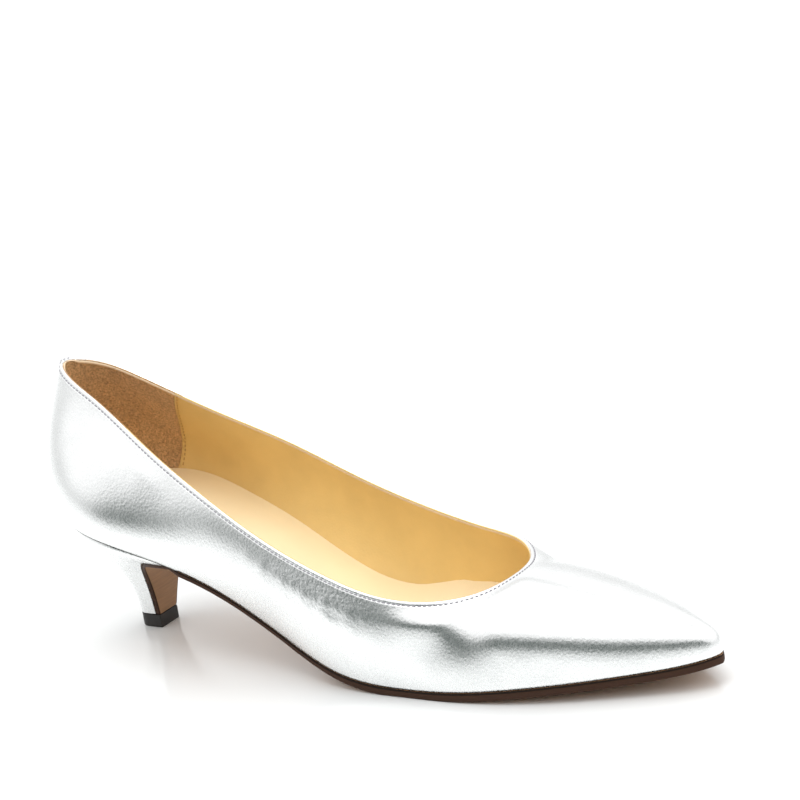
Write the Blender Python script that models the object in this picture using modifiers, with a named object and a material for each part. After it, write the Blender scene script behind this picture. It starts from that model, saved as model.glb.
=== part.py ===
"""Kitten heel pump, right shoe, standing empty on its sole.

The toe points to +X, the outer side of the foot lies to -Y and +Z is up.
The tables below are in millimetres, with x measured forward from the back of the shoe.
The origin of the model is the middle of the heel's top piece, on the floor.
"""

import bpy
import bmesh
import numpy as np

MM = 0.001
COLLECTION = "kitten_heel_pump"

# Driving sizes
ORIGIN_X = 24.8
WALL = 1.8
GAP = 0.3
TOP_PIECE_THICKNESS = 4.6
SOLE_THICKNESS = 2.8
WAIST_THICKNESS = 1.8
WAIST_FROM, WAIST_TO = 100.0, 140.0
SOLE_OVERHANG = 0.3
INSOLE_THICKNESS = 1.9
INSOLE_CLEARANCE = 0.5
BREAST_LINE = 58.0
FLAP_THICKNESS = 1.5
FLAP_STOP = 1.5
SOLE_START = 4.0
TOP_PIECE_BEVEL = 0.3
TOP_PIECE_ARC = 15
INSOLE_POINTS = 46
SOLE_POINTS = 52
TOE_CROWDING = 1.25
OUTWARD_STEP = 0.6
CURVE_POINTS = 800
SMOOTH_ANGLE = 40

# Edge where the upper meets the sole, seen from above: height and reach to either side
FEATHER = [
    # x, z, lateral, medial
    (2.0, 44.2, 0.0, 0.0),
    (5.0, 44.2, 11.6, 11.2),
    (12.0, 43.9, 20.6, 19.8),
    (28.0, 42.4, 29.3, 28.2),
    (50.0, 36.8, 29.2, 27.6),
    (75.0, 27.8, 27.8, 24.0),
    (100.0, 14.8, 28.8, 22.6),
    (125.0, 5.3, 33.2, 27.4),
    (150.0, 2.8, 33.8, 34.2),
    (170.0, 3.5, 33.2, 37.2),
    (190.0, 5.1, 29.6, 35.2),
    (210.0, 6.6, 22.5, 28.0),
    (230.0, 8.2, 13.2, 17.0),
    (242.0, 9.5, 6.0, 7.2),
    (247.0, 10.3, 0.0, 0.0),
]

# Edge of the foot opening, from the back to the middle of the throat
TOPLINE = [
    # x, z, lateral, medial
    (4.5, 92.6, 0.0, 0.0),
    (11.0, 90.6, 7.4, 7.9),
    (25.0, 85.0, 12.2, 12.2),
    (50.0, 71.8, 19.3, 18.4),
    (75.0, 59.9, 25.9, 24.0),
    (100.0, 47.9, 30.1, 26.8),
    (125.0, 38.5, 32.5, 28.4),
    (145.0, 33.2, 32.4, 29.2),
    (160.0, 31.2, 28.3, 26.6),
    (170.0, 30.2, 17.8, 17.2),
    (175.0, 30.6, 0.0, 0.0),
]

# Middle of the vamp, from the throat to the top of the toe
RIDGE = [
    # x, z
    (175.0, 30.6),
    (190.0, 29.2),
    (205.0, 27.0),
    (220.0, 24.2),
    (231.0, 21.4),
    (239.0, 18.8),
]

# Sections of the upper's wall: where each starts and ends, and how its ends lean
SECTION_COLUMNS = (
    "foot_x", "top_x", "out_lateral", "out_medial", "up_lateral", "up_medial",
    "top_out_lateral", "top_out_medial", "top_down", "follow",
)
SECTIONS = [
    (2.0, 4.5, 7.5, 7.5, 16.0, 16.0, 8.0, 8.0, 20.0, 1.0),
    (8.0, 9.5, 7.5, 7.5, 16.0, 16.0, 8.0, 8.0, 20.0, 1.0),
    (26.0, 25.0, 6.0, 6.0, 14.0, 14.0, 7.5, 7.5, 17.0, 1.0),
    (50.0, 49.0, 5.5, 6.5, 12.0, 12.0, 6.5, 6.5, 13.0, 1.0),
    (75.0, 75.0, 5.0, 7.5, 11.0, 11.0, 5.0, 5.0, 10.0, 0.9),
    (100.0, 101.0, 5.0, 8.5, 11.0, 11.0, 4.0, 4.0, 10.0, 0.7),
    (122.0, 124.0, 4.0, 6.0, 10.5, 10.5, 3.5, 3.5, 9.0, 0.4),
    (140.0, 143.0, 3.0, 3.5, 10.0, 10.0, 4.0, 4.0, 8.0, 0.2),
    (155.0, 158.0, 2.0, 2.0, 11.0, 10.5, 5.5, 6.5, 6.0, 0.0),
    (166.0, 169.5, 1.6, 1.6, 13.3, 11.0, 11.0, 12.5, 3.0, 0.0),
    (176.0, 175.0, 1.4, 1.4, 16.0, 11.5, 25.0, 24.0, 0.3, 0.0),
    (190.0, 189.0, 1.2, 1.2, 17.5, 12.0, 25.5, 21.5, 0.0, 0.0),
    (205.0, 203.0, 1.2, 1.2, 16.0, 11.5, 21.0, 17.0, 0.0, 0.0),
    (220.0, 216.0, 1.2, 1.2, 13.5, 10.0, 15.5, 12.5, 0.0, 0.1),
    (235.0, 228.0, 1.2, 1.2, 11.0, 8.5, 9.5, 7.5, 0.0, 0.3),
    (244.0, 236.0, 1.2, 1.2, 8.5, 7.2, 5.5, 5.5, 0.2, 0.7),
    (247.0, 239.0, 1.2, 1.2, 6.5, 6.5, 5.0, 5.0, 0.4, 1.0),
]
THROAT_ROW = 10
COLUMNS_PER_SECTION = 4
WALL_ROWS = 11
EASE_COLUMNS = 16
EASE_PASSES = 40

# Slices of the heel from its foot to the seat: front edge, half width, back edge
HEEL_COLUMNS = ("front_x", "front_z", "half", "back_x", "back_z", "seat_share")
HEEL = [
    (28.0, 4.9, 4.8, 19.8, 4.9, 0.0),
    (28.6, 10.0, 6.0, 20.0, 10.0, 0.0),
    (29.2, 15.0, 7.4, 19.1, 15.0, 0.05),
    (30.1, 20.0, 9.4, 16.8, 20.2, 0.15),
    (32.4, 25.0, 12.8, 12.8, 26.0, 0.3),
    (37.6, 29.2, 18.0, 8.2, 32.0, 0.5),
    (46.0, 32.2, 24.4, 4.8, 37.4, 0.75),
    (53.0, 33.6, 28.0, 3.2, 41.0, 0.95),
    (58.0, 34.0, 29.2, 2.5, 43.9, 1.0),
]
HEEL_SLICES_PER_ROW = 3
HEEL_RING = 15


def natural_spline(knots, values):
    """Returns a smooth function through the rows, with no bend at its two ends."""
    knots = np.asarray(knots, float)
    values = np.asarray(values, float)
    if values.ndim == 1:
        values = values[:, None]
    count = len(knots)
    step = np.diff(knots)
    matrix = np.eye(count)
    bends = np.zeros_like(values)
    slope = np.diff(values, axis=0) / step[:, None]
    for row in range(1, count - 1):
        matrix[row, row - 1 : row + 2] = step[row - 1], 2 * (step[row - 1] + step[row]), step[row]
        bends[row] = 6 * (slope[row] - slope[row - 1])
    bends = np.linalg.solve(matrix, bends)

    def at(place):
        place = np.atleast_1d(np.asarray(place, float))
        row = np.clip(np.searchsorted(knots, place, "right") - 1, 0, count - 2)
        width = step[row]
        before = (knots[row + 1] - place) / width
        after = 1 - before
        curve = (before**3 - before)[:, None] * bends[row] + (after**3 - after)[:, None] * bends[row + 1]
        line = before[:, None] * values[row] + after[:, None] * values[row + 1]
        return line + curve * (width**2 / 6)[:, None]

    return at


class Loop:
    """A smooth closed curve through a table's rows, down one side and back up the other."""

    def __init__(self, rows):
        outer = [(x, -lateral, z) for x, z, lateral, medial in rows]
        inner = [(x, medial, z) for x, z, lateral, medial in rows[1:-1]]
        points = np.array(outer + inner[::-1])
        count = len(points)
        turns = np.concatenate([points] * 3 + [points[:1]])
        chord = np.linalg.norm(np.diff(turns[:, :2], axis=0), axis=1)
        knots = np.concatenate([[0.0], np.cumsum(chord)])
        curve = natural_spline(knots, turns)
        tip = len(rows) - 1
        self.sides = {}
        for side, start, end in ((-1, count, count + tip), (1, 2 * count, count + tip)):
            fine = curve(np.linspace(knots[start], knots[end], CURVE_POINTS))
            length = np.concatenate([[0.0], np.cumsum(np.linalg.norm(np.diff(fine, axis=0), axis=1))])
            self.sides[side] = (fine, length)

    def length_at(self, side, x):
        fine, length = self.sides[side]
        return np.interp(x, fine[:, 0], length)

    def at(self, side, length):
        fine, lengths = self.sides[side]
        return np.stack([np.interp(length, lengths, fine[:, axis]) for axis in range(3)], 1)

    def outward(self, side, length):
        """Unit direction away from the foot, seen from above."""
        fine, lengths = self.sides[side]
        ahead = self.at(side, np.minimum(length + OUTWARD_STEP, lengths[-1]))
        behind = self.at(side, np.maximum(length - OUTWARD_STEP, 0.0))
        along = ahead - behind
        across = np.stack([-side * along[:, 1], side * along[:, 0], 0 * along[:, 2]], 1)
        across[length <= 0.0] = (-1.0, 0.0, 0.0)
        across[length >= lengths[-1]] = (1.0, 0.0, 0.0)
        return across / np.linalg.norm(across, axis=1)[:, None]

    def half_width(self, side, x):
        fine, length = self.sides[side]
        return np.abs(np.interp(x, fine[:, 0], fine[:, 1]))


feather = Loop(FEATHER)
topline = Loop(TOPLINE)
seat_height = natural_spline([row[0] for row in FEATHER], [row[1] for row in FEATHER])
ridge = natural_spline([row[0] for row in RIDGE], [row[1] for row in RIDGE])


def seat_z(x):
    """Height of the sole's upper side under the foot."""
    return seat_height(np.clip(x, FEATHER[0][0], FEATHER[-1][0]))[:, 0]


def wall_grid(side):
    """Outer face of the upper on one side: rows from the feather edge up to topline or ridge."""
    rows = dict(zip(SECTION_COLUMNS, np.array(SECTIONS).T))
    index = np.arange(len(SECTIONS))
    columns = np.linspace(0, len(SECTIONS) - 1, (len(SECTIONS) - 1) * COLUMNS_PER_SECTION + 1)
    throat = THROAT_ROW * COLUMNS_PER_SECTION

    foot_length = natural_spline(index, feather.length_at(side, rows["foot_x"]))(columns)[:, 0]
    foot_length[0] = 0.0
    foot_length[-1] = feather.sides[side][1][-1]
    foot = feather.at(side, foot_length)
    foot[:, 2] = seat_z(foot[:, 0])
    foot_out = feather.outward(side, foot_length)

    behind = index[: THROAT_ROW + 1]
    behind_length = topline.length_at(side, rows["top_x"][behind])
    top_length = natural_spline(behind, behind_length)(columns[: throat + 1])[:, 0]
    top_length[0] = 0.0
    top_length[-1] = topline.sides[side][1][-1]
    ahead = index[THROAT_ROW:]
    ridge_x = natural_spline(ahead, rows["top_x"][ahead])(columns[throat + 1 :])[:, 0]
    ridge_points = np.stack([ridge_x, 0 * ridge_x, ridge(ridge_x)[:, 0]], 1)
    top = np.concatenate([topline.at(side, top_length), ridge_points])
    top[[0, throat], 1] = 0.0

    def read(name):
        return natural_spline(index, rows[name])(columns)[:, 0][:, None]

    straight = np.array([[0.0, side, 0.0]])
    follow = np.clip(read("follow"), 0.0, 1.0)
    top_out = follow * foot_out + (1 - follow) * straight
    top_out /= np.linalg.norm(top_out, axis=1)[:, None]
    upright = np.array([[0.0, 0.0, 1.0]])
    name = "lateral" if side < 0 else "medial"
    low = foot + foot_out * read("out_" + name) + upright * read("up_" + name)
    high = top + top_out * read("top_out_" + name) - upright * read("top_down")

    share = np.linspace(0, 1, WALL_ROWS + 1)[:, None, None]
    return (
        (1 - share) ** 3 * foot
        + 3 * (1 - share) ** 2 * share * low
        + 3 * (1 - share) * share**2 * high
        + share**3 * top
    )


def ease_throat(outer):
    """Evens the skin around the throat, where wall turns into vamp. Its edges stay where they are."""
    throat = THROAT_ROW * COLUMNS_PER_SECTION
    away = np.abs(np.arange(outer[1].shape[1]) - throat) / EASE_COLUMNS
    weight = np.clip(1 - away**2, 0, 1)[None, :, None]
    for strength in (0.5, -0.52) * EASE_PASSES:
        eased = {}
        for side, grid in outer.items():
            above = np.concatenate([grid[1:], outer[-side][-2:-1]])
            below = np.concatenate([grid[:1], grid[:-1]])
            mean = (above + below + np.roll(grid, 1, 1) + np.roll(grid, -1, 1)) / 4
            moved = grid + weight * strength * (mean - grid)
            moved[0] = grid[0]
            moved[-1, : throat + 1] = grid[-1, : throat + 1]
            moved[:, [0, -1]] = grid[:, [0, -1]]
            eased[side] = moved
        outer = eased
    return outer


def inner_grids(outer):
    """Inner faces of the upper, one wall thickness inside the outer ones."""
    inner = {}
    throat = THROAT_ROW * COLUMNS_PER_SECTION
    for side, grid in outer.items():
        across = np.gradient(grid, axis=0)
        along = np.gradient(grid, axis=1)
        other = outer[-side]
        along[:, 0] = (grid[:, 1] - other[:, 1]) / 2
        along[:, -1] = (other[:, -2] - grid[:, -2]) / 2
        across[-1, throat:-1] = (other[-2, throat:-1] - grid[-2, throat:-1]) / 2
        along[-1, -1] = (0.0, -side, 0.0)
        normal = np.cross(along, across) * -side
        normal /= np.linalg.norm(normal, axis=2)[:, :, None]
        level = normal[0] * (1, 1, 0)
        normal[0] = level / np.linalg.norm(level, axis=1)[:, None]
        inside = grid - normal * WALL
        inside[:, [0, -1], 1] = 0.0
        inside[0, :, 2] = seat_z(inside[0, :, 0])
        inner[side] = inside
    shared = (inner[-1][-1, throat:] + inner[1][-1, throat:]) / 2
    for grid in inner.values():
        grid[-1, throat:] = shared
    return inner


def finish(name, points, faces, material, smooth_angle=None):
    """Makes one named solid from points in millimetres."""
    mesh = bpy.data.meshes.new(name)
    shifted = (np.asarray(points) - (ORIGIN_X, 0.0, 0.0)) * MM
    mesh.from_pydata([tuple(point) for point in shifted], [], faces)
    obj = bpy.data.objects.new(name, mesh)
    bpy.data.collections[COLLECTION].objects.link(obj)
    work = bmesh.new()
    work.from_mesh(mesh)
    bmesh.ops.remove_doubles(work, verts=work.verts, dist=0.01 * MM)
    bmesh.ops.recalc_face_normals(work, faces=work.faces)
    work.to_mesh(mesh)
    work.free()
    mesh.shade_smooth()
    if smooth_angle:
        mesh.set_sharp_from_angle(angle=np.radians(smooth_angle))
    mesh.materials.append(material)
    return obj


def quads(start, rows, columns, turn=False):
    """Faces of a grid of points that begins at one index."""
    faces = []
    for row in range(rows - 1):
        for column in range(columns - 1):
            corner = start + row * columns + column
            face = (corner, corner + 1, corner + columns + 1, corner + columns)
            faces.append(face[::-1] if turn else face)
    return faces


def make_material(name, colour, roughness, metallic=0.0):
    material = bpy.data.materials.new(name)
    material.use_nodes = True
    shader = material.node_tree.nodes["Principled BSDF"]
    shader.inputs["Base Color"].default_value = (*colour, 1.0)
    shader.inputs["Roughness"].default_value = roughness
    shader.inputs["Metallic"].default_value = metallic
    return material


def make_upper(material):
    """The lasted upper: one shell, open at the foot opening and underneath."""
    outer = ease_throat({side: wall_grid(side) for side in (-1, 1)})
    inner = inner_grids(outer)
    rows, columns = outer[1].shape[:2]
    size = rows * columns
    throat = THROAT_ROW * COLUMNS_PER_SECTION
    points = np.concatenate([grid[side].reshape(-1, 3) for grid in (outer, inner) for side in (-1, 1)])
    faces = []
    for part in range(4):
        faces += quads(part * size, rows, columns, turn=part in (1, 2))
    for part in (0, 1):
        low = part * size
        high = low + (rows - 1) * columns
        for start, last in ((low, columns - 1), (high, throat)):
            for place in range(start, start + last):
                faces.append((place, place + 1, place + 2 * size + 1, place + 2 * size))
    return finish("upper", points, faces, material, 50)


def level_ring(inset, start_x, count):
    """Two lines of points along the feather edge, pushed in or out, from start_x to the toe."""
    lines = {}
    for side in (-1, 1):
        first = feather.length_at(side, start_x)
        last = feather.sides[side][1][-1]
        share = np.linspace(0, 1, count)
        length = first + (last - first) * (1 - (1 - share) ** TOE_CROWDING)
        line = feather.at(side, length) - feather.outward(side, length) * inset
        line[-1, 1] = 0.0
        lines[side] = line
    return lines


def make_insole(material):
    """The insole, lying inside the wall and following the seat, arch and toe spring."""
    lines = level_ring(WALL + INSOLE_CLEARANCE, FEATHER[0][0], INSOLE_POINTS)
    lines[-1][0, 1] = 0.0
    lines[1][0, 1] = 0.0
    strip = []
    for level in (0.0, INSOLE_THICKNESS):
        for line in (lines[-1], (lines[-1] + lines[1]) / 2, lines[1]):
            raised = line.copy()
            raised[:, 2] = seat_z(line[:, 0]) + level
            strip.append(raised)
    return finish_strip("insole", strip, material)


def finish_strip(name, strip, material):
    """A closed strip from six lines of points: three below and the three above them."""
    count = len(strip[0])
    points = np.concatenate(strip)
    faces = quads(0, 3, count) + quads(3 * count, 3, count, turn=True)
    for low, high in ((0, 3), (2, 5)):
        for place in range(count - 1):
            a = low * count + place
            b = high * count + place
            faces.append((a, a + 1, b + 1, b))
    for end in (0, count - 1):
        for line in (0, 1):
            a = line * count + end
            b = (line + 3) * count + end
            faces.append((a, a + count, b + count, b))
    faces = [face for face in faces if len(set(face)) == 4]
    return finish(name, points, faces, material, SMOOTH_ANGLE)


def seat_share_at(share, side):
    """Half width of the seat at a share of its length, as a share of its widest."""
    x = FEATHER[0][0] + share * (BREAST_LINE - FEATHER[0][0])
    widest = max(feather.half_width(side, place) for place in np.linspace(FEATHER[0][0], BREAST_LINE, 60))
    return float(feather.half_width(side, x) / widest)


def heel_slices(rows_per_step):
    """The heel's table, read at even steps along a smooth curve through its rows."""
    rows = dict(zip(HEEL_COLUMNS, np.array(HEEL).T))
    index = np.arange(len(HEEL))
    steps = np.linspace(0, len(HEEL) - 1, (len(HEEL) - 1) * rows_per_step + 1)
    return {name: natural_spline(index, rows[name])(steps)[:, 0] for name in HEEL_COLUMNS}


def sole_thickness(x):
    """Thin in the waist, full under the forefoot."""
    share = np.clip((x - WAIST_FROM) / (WAIST_TO - WAIST_FROM), 0, 1)
    return WAIST_THICKNESS + (SOLE_THICKNESS - WAIST_THICKNESS) * share


def make_outsole(material):
    """The leather outsole, with the flap that runs on down the front of the heel."""
    slices = heel_slices(HEEL_SLICES_PER_ROW)
    path_x = slices["front_x"]
    path_z = slices["front_z"]
    half = slices["half"] * (1 - slices["seat_share"] * (1 - seat_share_at(1.0, 1)))
    along = np.stack([np.gradient(path_x), np.gradient(path_z)], 1)
    along /= np.linalg.norm(along, axis=1)[:, None]
    away = np.stack([along[:, 1], -along[:, 0]], 1)
    flap_top = np.stack([path_x, path_z], 1) + away * GAP
    flap_low = flap_top + away * FLAP_THICKNESS
    flap_top[0, 1] = flap_low[0, 1] = TOP_PIECE_THICKNESS + GAP
    keep = path_x < BREAST_LINE - FLAP_STOP
    flap_top, flap_low, half = flap_top[keep], flap_low[keep], half[keep]

    lines = level_ring(-SOLE_OVERHANG, BREAST_LINE + SOLE_START, SOLE_POINTS)
    strip = []
    for high in (False, True):
        flap = flap_top if high else flap_low
        for position in (-1, 0, 1):
            line = (lines[-1] + lines[1]) / 2 if position == 0 else lines[position].copy()
            line[:, 2] = seat_z(line[:, 0]) - GAP
            if not high:
                line[:, 2] = np.maximum(line[:, 2] - sole_thickness(line[:, 0]), 0.0)
            down = np.stack([flap[:, 0], position * half, flap[:, 1]], 1)
            strip.append(np.concatenate([down, line]))
    return finish_strip("outsole", strip, material)


def make_heel(material):
    """The covered heel: slices that turn from a small D at the foot into the shape of the seat."""
    slices = heel_slices(HEEL_SLICES_PER_ROW)
    turn = np.linspace(0, np.pi / 2, HEEL_RING)
    shares = 1 - np.sin(turn)
    rounded = np.sqrt(1 - np.clip(1 - shares / 0.5, 0, 1) ** 2)
    ring = []
    for step in range(len(slices["half"])):
        part = {name: values[step] for name, values in slices.items()}
        loop = []
        for side in (-1, 1):
            seat = np.array([seat_share_at(share, side) for share in shares])
            blend = rounded + (seat - rounded) * part["seat_share"]
            x = part["back_x"] + shares * (part["front_x"] - part["back_x"])
            z = part["back_z"] + shares * (part["front_z"] - part["back_z"])
            line = np.stack([x, side * part["half"] * blend, z], 1)
            loop.append(line if side < 0 else line[-2::-1])
        ring.append(np.concatenate(loop))
    seat = ring[-1].copy()
    seat[:, 2] = seat_z(seat[:, 0]) - GAP
    ring.append(seat)
    ring = np.array(ring)
    levels, count = ring.shape[:2]
    points = ring.reshape(-1, 3)
    faces = []
    for level in range(levels - 1):
        for place in range(count):
            following = (place + 1) % count
            a = level * count
            faces.append((a + place, a + following, a + count + following, a + count + place))
    for level in (0, levels - 1):
        base = level * count
        for place in range(HEEL_RING - 1):
            across = base + count - 1 - place
            faces.append((base + place, base + place + 1, across - 1, across))
    return finish("heel", points, faces, material, SMOOTH_ANGLE)


def make_top_piece(material):
    """The rubber top piece: a small D with a straight front, flat on the floor."""
    first = dict(zip(HEEL_COLUMNS, HEEL[0]))
    front_x = first["front_x"] + GAP + FLAP_THICKNESS
    length = first["front_x"] - first["back_x"]
    half = first["half"]
    turn = np.linspace(-np.pi / 2, np.pi / 2, TOP_PIECE_ARC)
    round_x = first["back_x"] + length / 2 * (1 - np.cos(turn))
    outline = [(front_x, -half)] + list(zip(round_x, half * np.sin(turn))) + [(front_x, half)]
    work = bmesh.new()
    corners = [work.verts.new(((x - ORIGIN_X) * MM, y * MM, 0.0)) for x, y in outline]
    face = work.faces.new(corners)
    raised = bmesh.ops.extrude_face_region(work, geom=[face])["geom"]
    upper_corners = [item for item in raised if isinstance(item, bmesh.types.BMVert)]
    bmesh.ops.translate(work, verts=upper_corners, vec=(0.0, 0.0, TOP_PIECE_THICKNESS * MM))
    bmesh.ops.recalc_face_normals(work, faces=work.faces)
    mesh = bpy.data.meshes.new("top_piece")
    work.to_mesh(mesh)
    work.free()
    mesh.materials.append(material)
    obj = bpy.data.objects.new("top_piece", mesh)
    bpy.data.collections[COLLECTION].objects.link(obj)
    rounding = obj.modifiers.new("edge", "BEVEL")
    rounding.width = TOP_PIECE_BEVEL * MM
    rounding.segments = 2
    rounding.limit_method = "ANGLE"
    mesh.shade_smooth()
    mesh.set_sharp_from_angle(angle=np.radians(SMOOTH_ANGLE))
    return obj


def clear_scene():
    for obj in list(bpy.data.objects):
        bpy.data.objects.remove(obj, do_unlink=True)
    for collection in list(bpy.data.collections):
        bpy.data.collections.remove(collection)


def main():
    clear_scene()
    collection = bpy.data.collections.new(COLLECTION)
    bpy.context.scene.collection.children.link(collection)
    silver = make_material("silver_leather", (0.78, 0.79, 0.79), 0.28, 0.9)
    tan = make_material("tan_leather", (0.86, 0.68, 0.4), 0.6)
    sole_leather = make_material("brown_sole_leather", (0.22, 0.12, 0.07), 0.5)
    heel_cover = make_material("silver_heel_cover", (0.78, 0.79, 0.79), 0.28, 0.9)
    rubber = make_material("black_rubber", (0.03, 0.028, 0.027), 0.6)
    shoe = bpy.data.objects.new(COLLECTION, None)
    collection.objects.link(shoe)
    pieces = [
        make_upper(silver),
        make_insole(tan),
        make_outsole(sole_leather),
        make_heel(heel_cover),
        make_top_piece(rubber),
    ]
    for piece in pieces:
        piece.parent = shoe


main()
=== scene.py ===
"""Looks of a right kitten heel pump: silver leather, tan lining, suede heel grip, leather sole.

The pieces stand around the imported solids, in the same frame: the toe points to +X, the outer
side of the foot lies to -Y and +Z is up. The tables hold millimetres, with x measured forward
from the back of the shoe. Points are turned into metres when a piece is made.
"""

import bmesh
import bpy
import numpy as np
from bpy.props import FloatProperty, FloatVectorProperty, IntProperty, PointerProperty
from mathutils import Matrix, Vector
from mathutils.bvhtree import BVHTree


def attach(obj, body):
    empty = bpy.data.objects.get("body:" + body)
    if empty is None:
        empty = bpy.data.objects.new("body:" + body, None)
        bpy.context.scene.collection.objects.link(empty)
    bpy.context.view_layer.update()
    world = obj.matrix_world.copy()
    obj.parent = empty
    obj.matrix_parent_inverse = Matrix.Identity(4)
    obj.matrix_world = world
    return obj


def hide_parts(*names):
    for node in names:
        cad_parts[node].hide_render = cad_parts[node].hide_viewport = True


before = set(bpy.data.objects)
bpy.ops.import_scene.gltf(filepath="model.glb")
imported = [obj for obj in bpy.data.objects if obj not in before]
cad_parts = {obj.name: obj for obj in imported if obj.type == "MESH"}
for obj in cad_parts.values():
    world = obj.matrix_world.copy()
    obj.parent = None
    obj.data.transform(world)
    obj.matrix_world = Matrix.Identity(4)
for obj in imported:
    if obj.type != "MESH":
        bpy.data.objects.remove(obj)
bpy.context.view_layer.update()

bl_info = {
    "name": "Kitten heel pump",
    "version": (1, 0, 0),
    "blender": (4, 5, 0),
    "location": "3D View > Sidebar > Pump",
    "description": "Builds the leather, lining, stitches, sole and heel of a kitten heel pump",
    "category": "Add Mesh",
}

MM = 0.001
ORIGIN_X = 24.8
BODY = "root"

# The last: the same tables as the solids
GAP = 0.3
TOP_PIECE_THICKNESS = 4.6
SOLE_THICKNESS = 2.8
WAIST_THICKNESS = 1.8
WAIST_FROM, WAIST_TO = 100.0, 140.0
SOLE_OVERHANG = 0.3
INSOLE_THICKNESS = 1.9
BREAST_LINE = 58.0
FLAP_THICKNESS = 1.5
FLAP_STOP = 1.5
SOLE_START = 4.0
TOE_CROWDING = 1.25
OUTWARD_STEP = 0.6
CURVE_POINTS = 800
MERGE_DISTANCE = 0.005

FEATHER = [
    # x, z, lateral, medial
    (2.0, 44.2, 0.0, 0.0),
    (5.0, 44.2, 11.6, 11.2),
    (12.0, 43.9, 20.6, 19.8),
    (28.0, 42.4, 29.3, 28.2),
    (50.0, 36.8, 29.2, 27.6),
    (75.0, 27.8, 27.8, 24.0),
    (100.0, 14.8, 28.8, 22.6),
    (125.0, 5.3, 33.2, 27.4),
    (150.0, 2.8, 33.8, 34.2),
    (170.0, 3.5, 33.2, 37.2),
    (190.0, 5.1, 29.6, 35.2),
    (210.0, 6.6, 22.5, 28.0),
    (230.0, 8.2, 13.2, 17.0),
    (242.0, 9.5, 6.0, 7.2),
    (247.0, 10.3, 0.0, 0.0),
]

TOPLINE = [
    # x, z, lateral, medial
    (4.5, 92.6, 0.0, 0.0),
    (11.0, 90.6, 7.4, 7.9),
    (25.0, 85.0, 12.2, 12.2),
    (50.0, 71.8, 19.3, 18.4),
    (75.0, 59.9, 25.9, 24.0),
    (100.0, 47.9, 30.1, 26.8),
    (125.0, 38.5, 32.5, 28.4),
    (145.0, 33.2, 32.4, 29.2),
    (160.0, 31.2, 28.3, 26.6),
    (170.0, 30.2, 17.8, 17.2),
    (175.0, 30.6, 0.0, 0.0),
]

RIDGE = [
    # x, z
    (175.0, 30.6),
    (190.0, 29.2),
    (205.0, 27.0),
    (220.0, 24.2),
    (231.0, 21.4),
    (239.0, 18.8),
]

SECTION_COLUMNS = (
    "foot_x", "top_x", "out_lateral", "out_medial", "up_lateral", "up_medial",
    "top_out_lateral", "top_out_medial", "top_down", "follow",
)
SECTIONS = [
    (2.0, 4.5, 7.5, 7.5, 16.0, 16.0, 8.0, 8.0, 20.0, 1.0),
    (8.0, 9.5, 7.5, 7.5, 16.0, 16.0, 8.0, 8.0, 20.0, 1.0),
    (26.0, 25.0, 6.0, 6.0, 14.0, 14.0, 7.5, 7.5, 17.0, 1.0),
    (50.0, 49.0, 5.5, 6.5, 12.0, 12.0, 6.5, 6.5, 13.0, 1.0),
    (75.0, 75.0, 5.0, 7.5, 11.0, 11.0, 5.0, 5.0, 10.0, 0.9),
    (100.0, 101.0, 5.0, 8.5, 11.0, 11.0, 4.0, 4.0, 10.0, 0.7),
    (122.0, 124.0, 4.0, 6.0, 10.5, 10.5, 3.5, 3.5, 9.0, 0.4),
    (140.0, 143.0, 3.0, 3.5, 10.0, 10.0, 4.0, 4.0, 8.0, 0.2),
    (155.0, 158.0, 2.0, 2.0, 11.0, 10.5, 5.5, 6.5, 6.0, 0.0),
    (166.0, 169.5, 1.6, 1.6, 13.3, 11.0, 11.0, 12.5, 3.0, 0.0),
    (176.0, 175.0, 1.4, 1.4, 16.0, 11.5, 25.0, 24.0, 0.3, 0.0),
    (190.0, 189.0, 1.2, 1.2, 17.5, 12.0, 25.5, 21.5, 0.0, 0.0),
    (205.0, 203.0, 1.2, 1.2, 16.0, 11.5, 21.0, 17.0, 0.0, 0.0),
    (220.0, 216.0, 1.2, 1.2, 13.5, 10.0, 15.5, 12.5, 0.0, 0.1),
    (235.0, 228.0, 1.2, 1.2, 11.0, 8.5, 9.5, 7.5, 0.0, 0.3),
    (244.0, 236.0, 1.2, 1.2, 8.5, 7.2, 5.5, 5.5, 0.2, 0.7),
    (247.0, 239.0, 1.2, 1.2, 6.5, 6.5, 5.0, 5.0, 0.4, 1.0),
]
THROAT_ROW = 10
COLUMNS_PER_SECTION = 4
WALL_ROWS = 11
EASE_COLUMNS = 16
EASE_PASSES = 40

HEEL_COLUMNS = ("front_x", "front_z", "half", "back_x", "back_z", "seat_share")
HEEL = [
    (28.0, 4.9, 4.8, 19.8, 4.9, 0.0),
    (28.6, 10.0, 6.0, 20.0, 10.0, 0.0),
    (29.2, 15.0, 7.4, 19.1, 15.0, 0.05),
    (30.1, 20.0, 9.4, 16.8, 20.2, 0.15),
    (32.4, 25.0, 12.8, 12.8, 26.0, 0.3),
    (37.6, 29.2, 18.0, 8.2, 32.0, 0.5),
    (46.0, 32.2, 24.4, 4.8, 37.4, 0.75),
    (53.0, 33.6, 28.0, 3.2, 41.0, 0.95),
    (58.0, 34.0, 29.2, 2.5, 43.9, 1.0),
]

# Layers of the upper, counted inwards from the outer face
TUCK_DEPTH = 2.0
TUCK_DROP = 0.2
FEATHER_CREASE = 0.85
SKIN_LEVELS = 2
SKIN_THICKNESS = 0.8
SKIN_FITS = 3
FOLD_RADIUS = 0.5
FOLD_REACH = 4.8
STRIP_FROM = 1.85
BACK_SEAM_DEPTH = 0.14
BACK_SEAM_WIDTH = 0.42
BACK_SEAM_REACH = 30.0
STITCH_LINE = 1.35
LINING_FACE = 1.75
LINING_THICKNESS = 0.5
GRIP_FACE = 1.45
GRIP_THICKNESS = 0.35
GRIP_OVERLAP = 3.0

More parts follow.
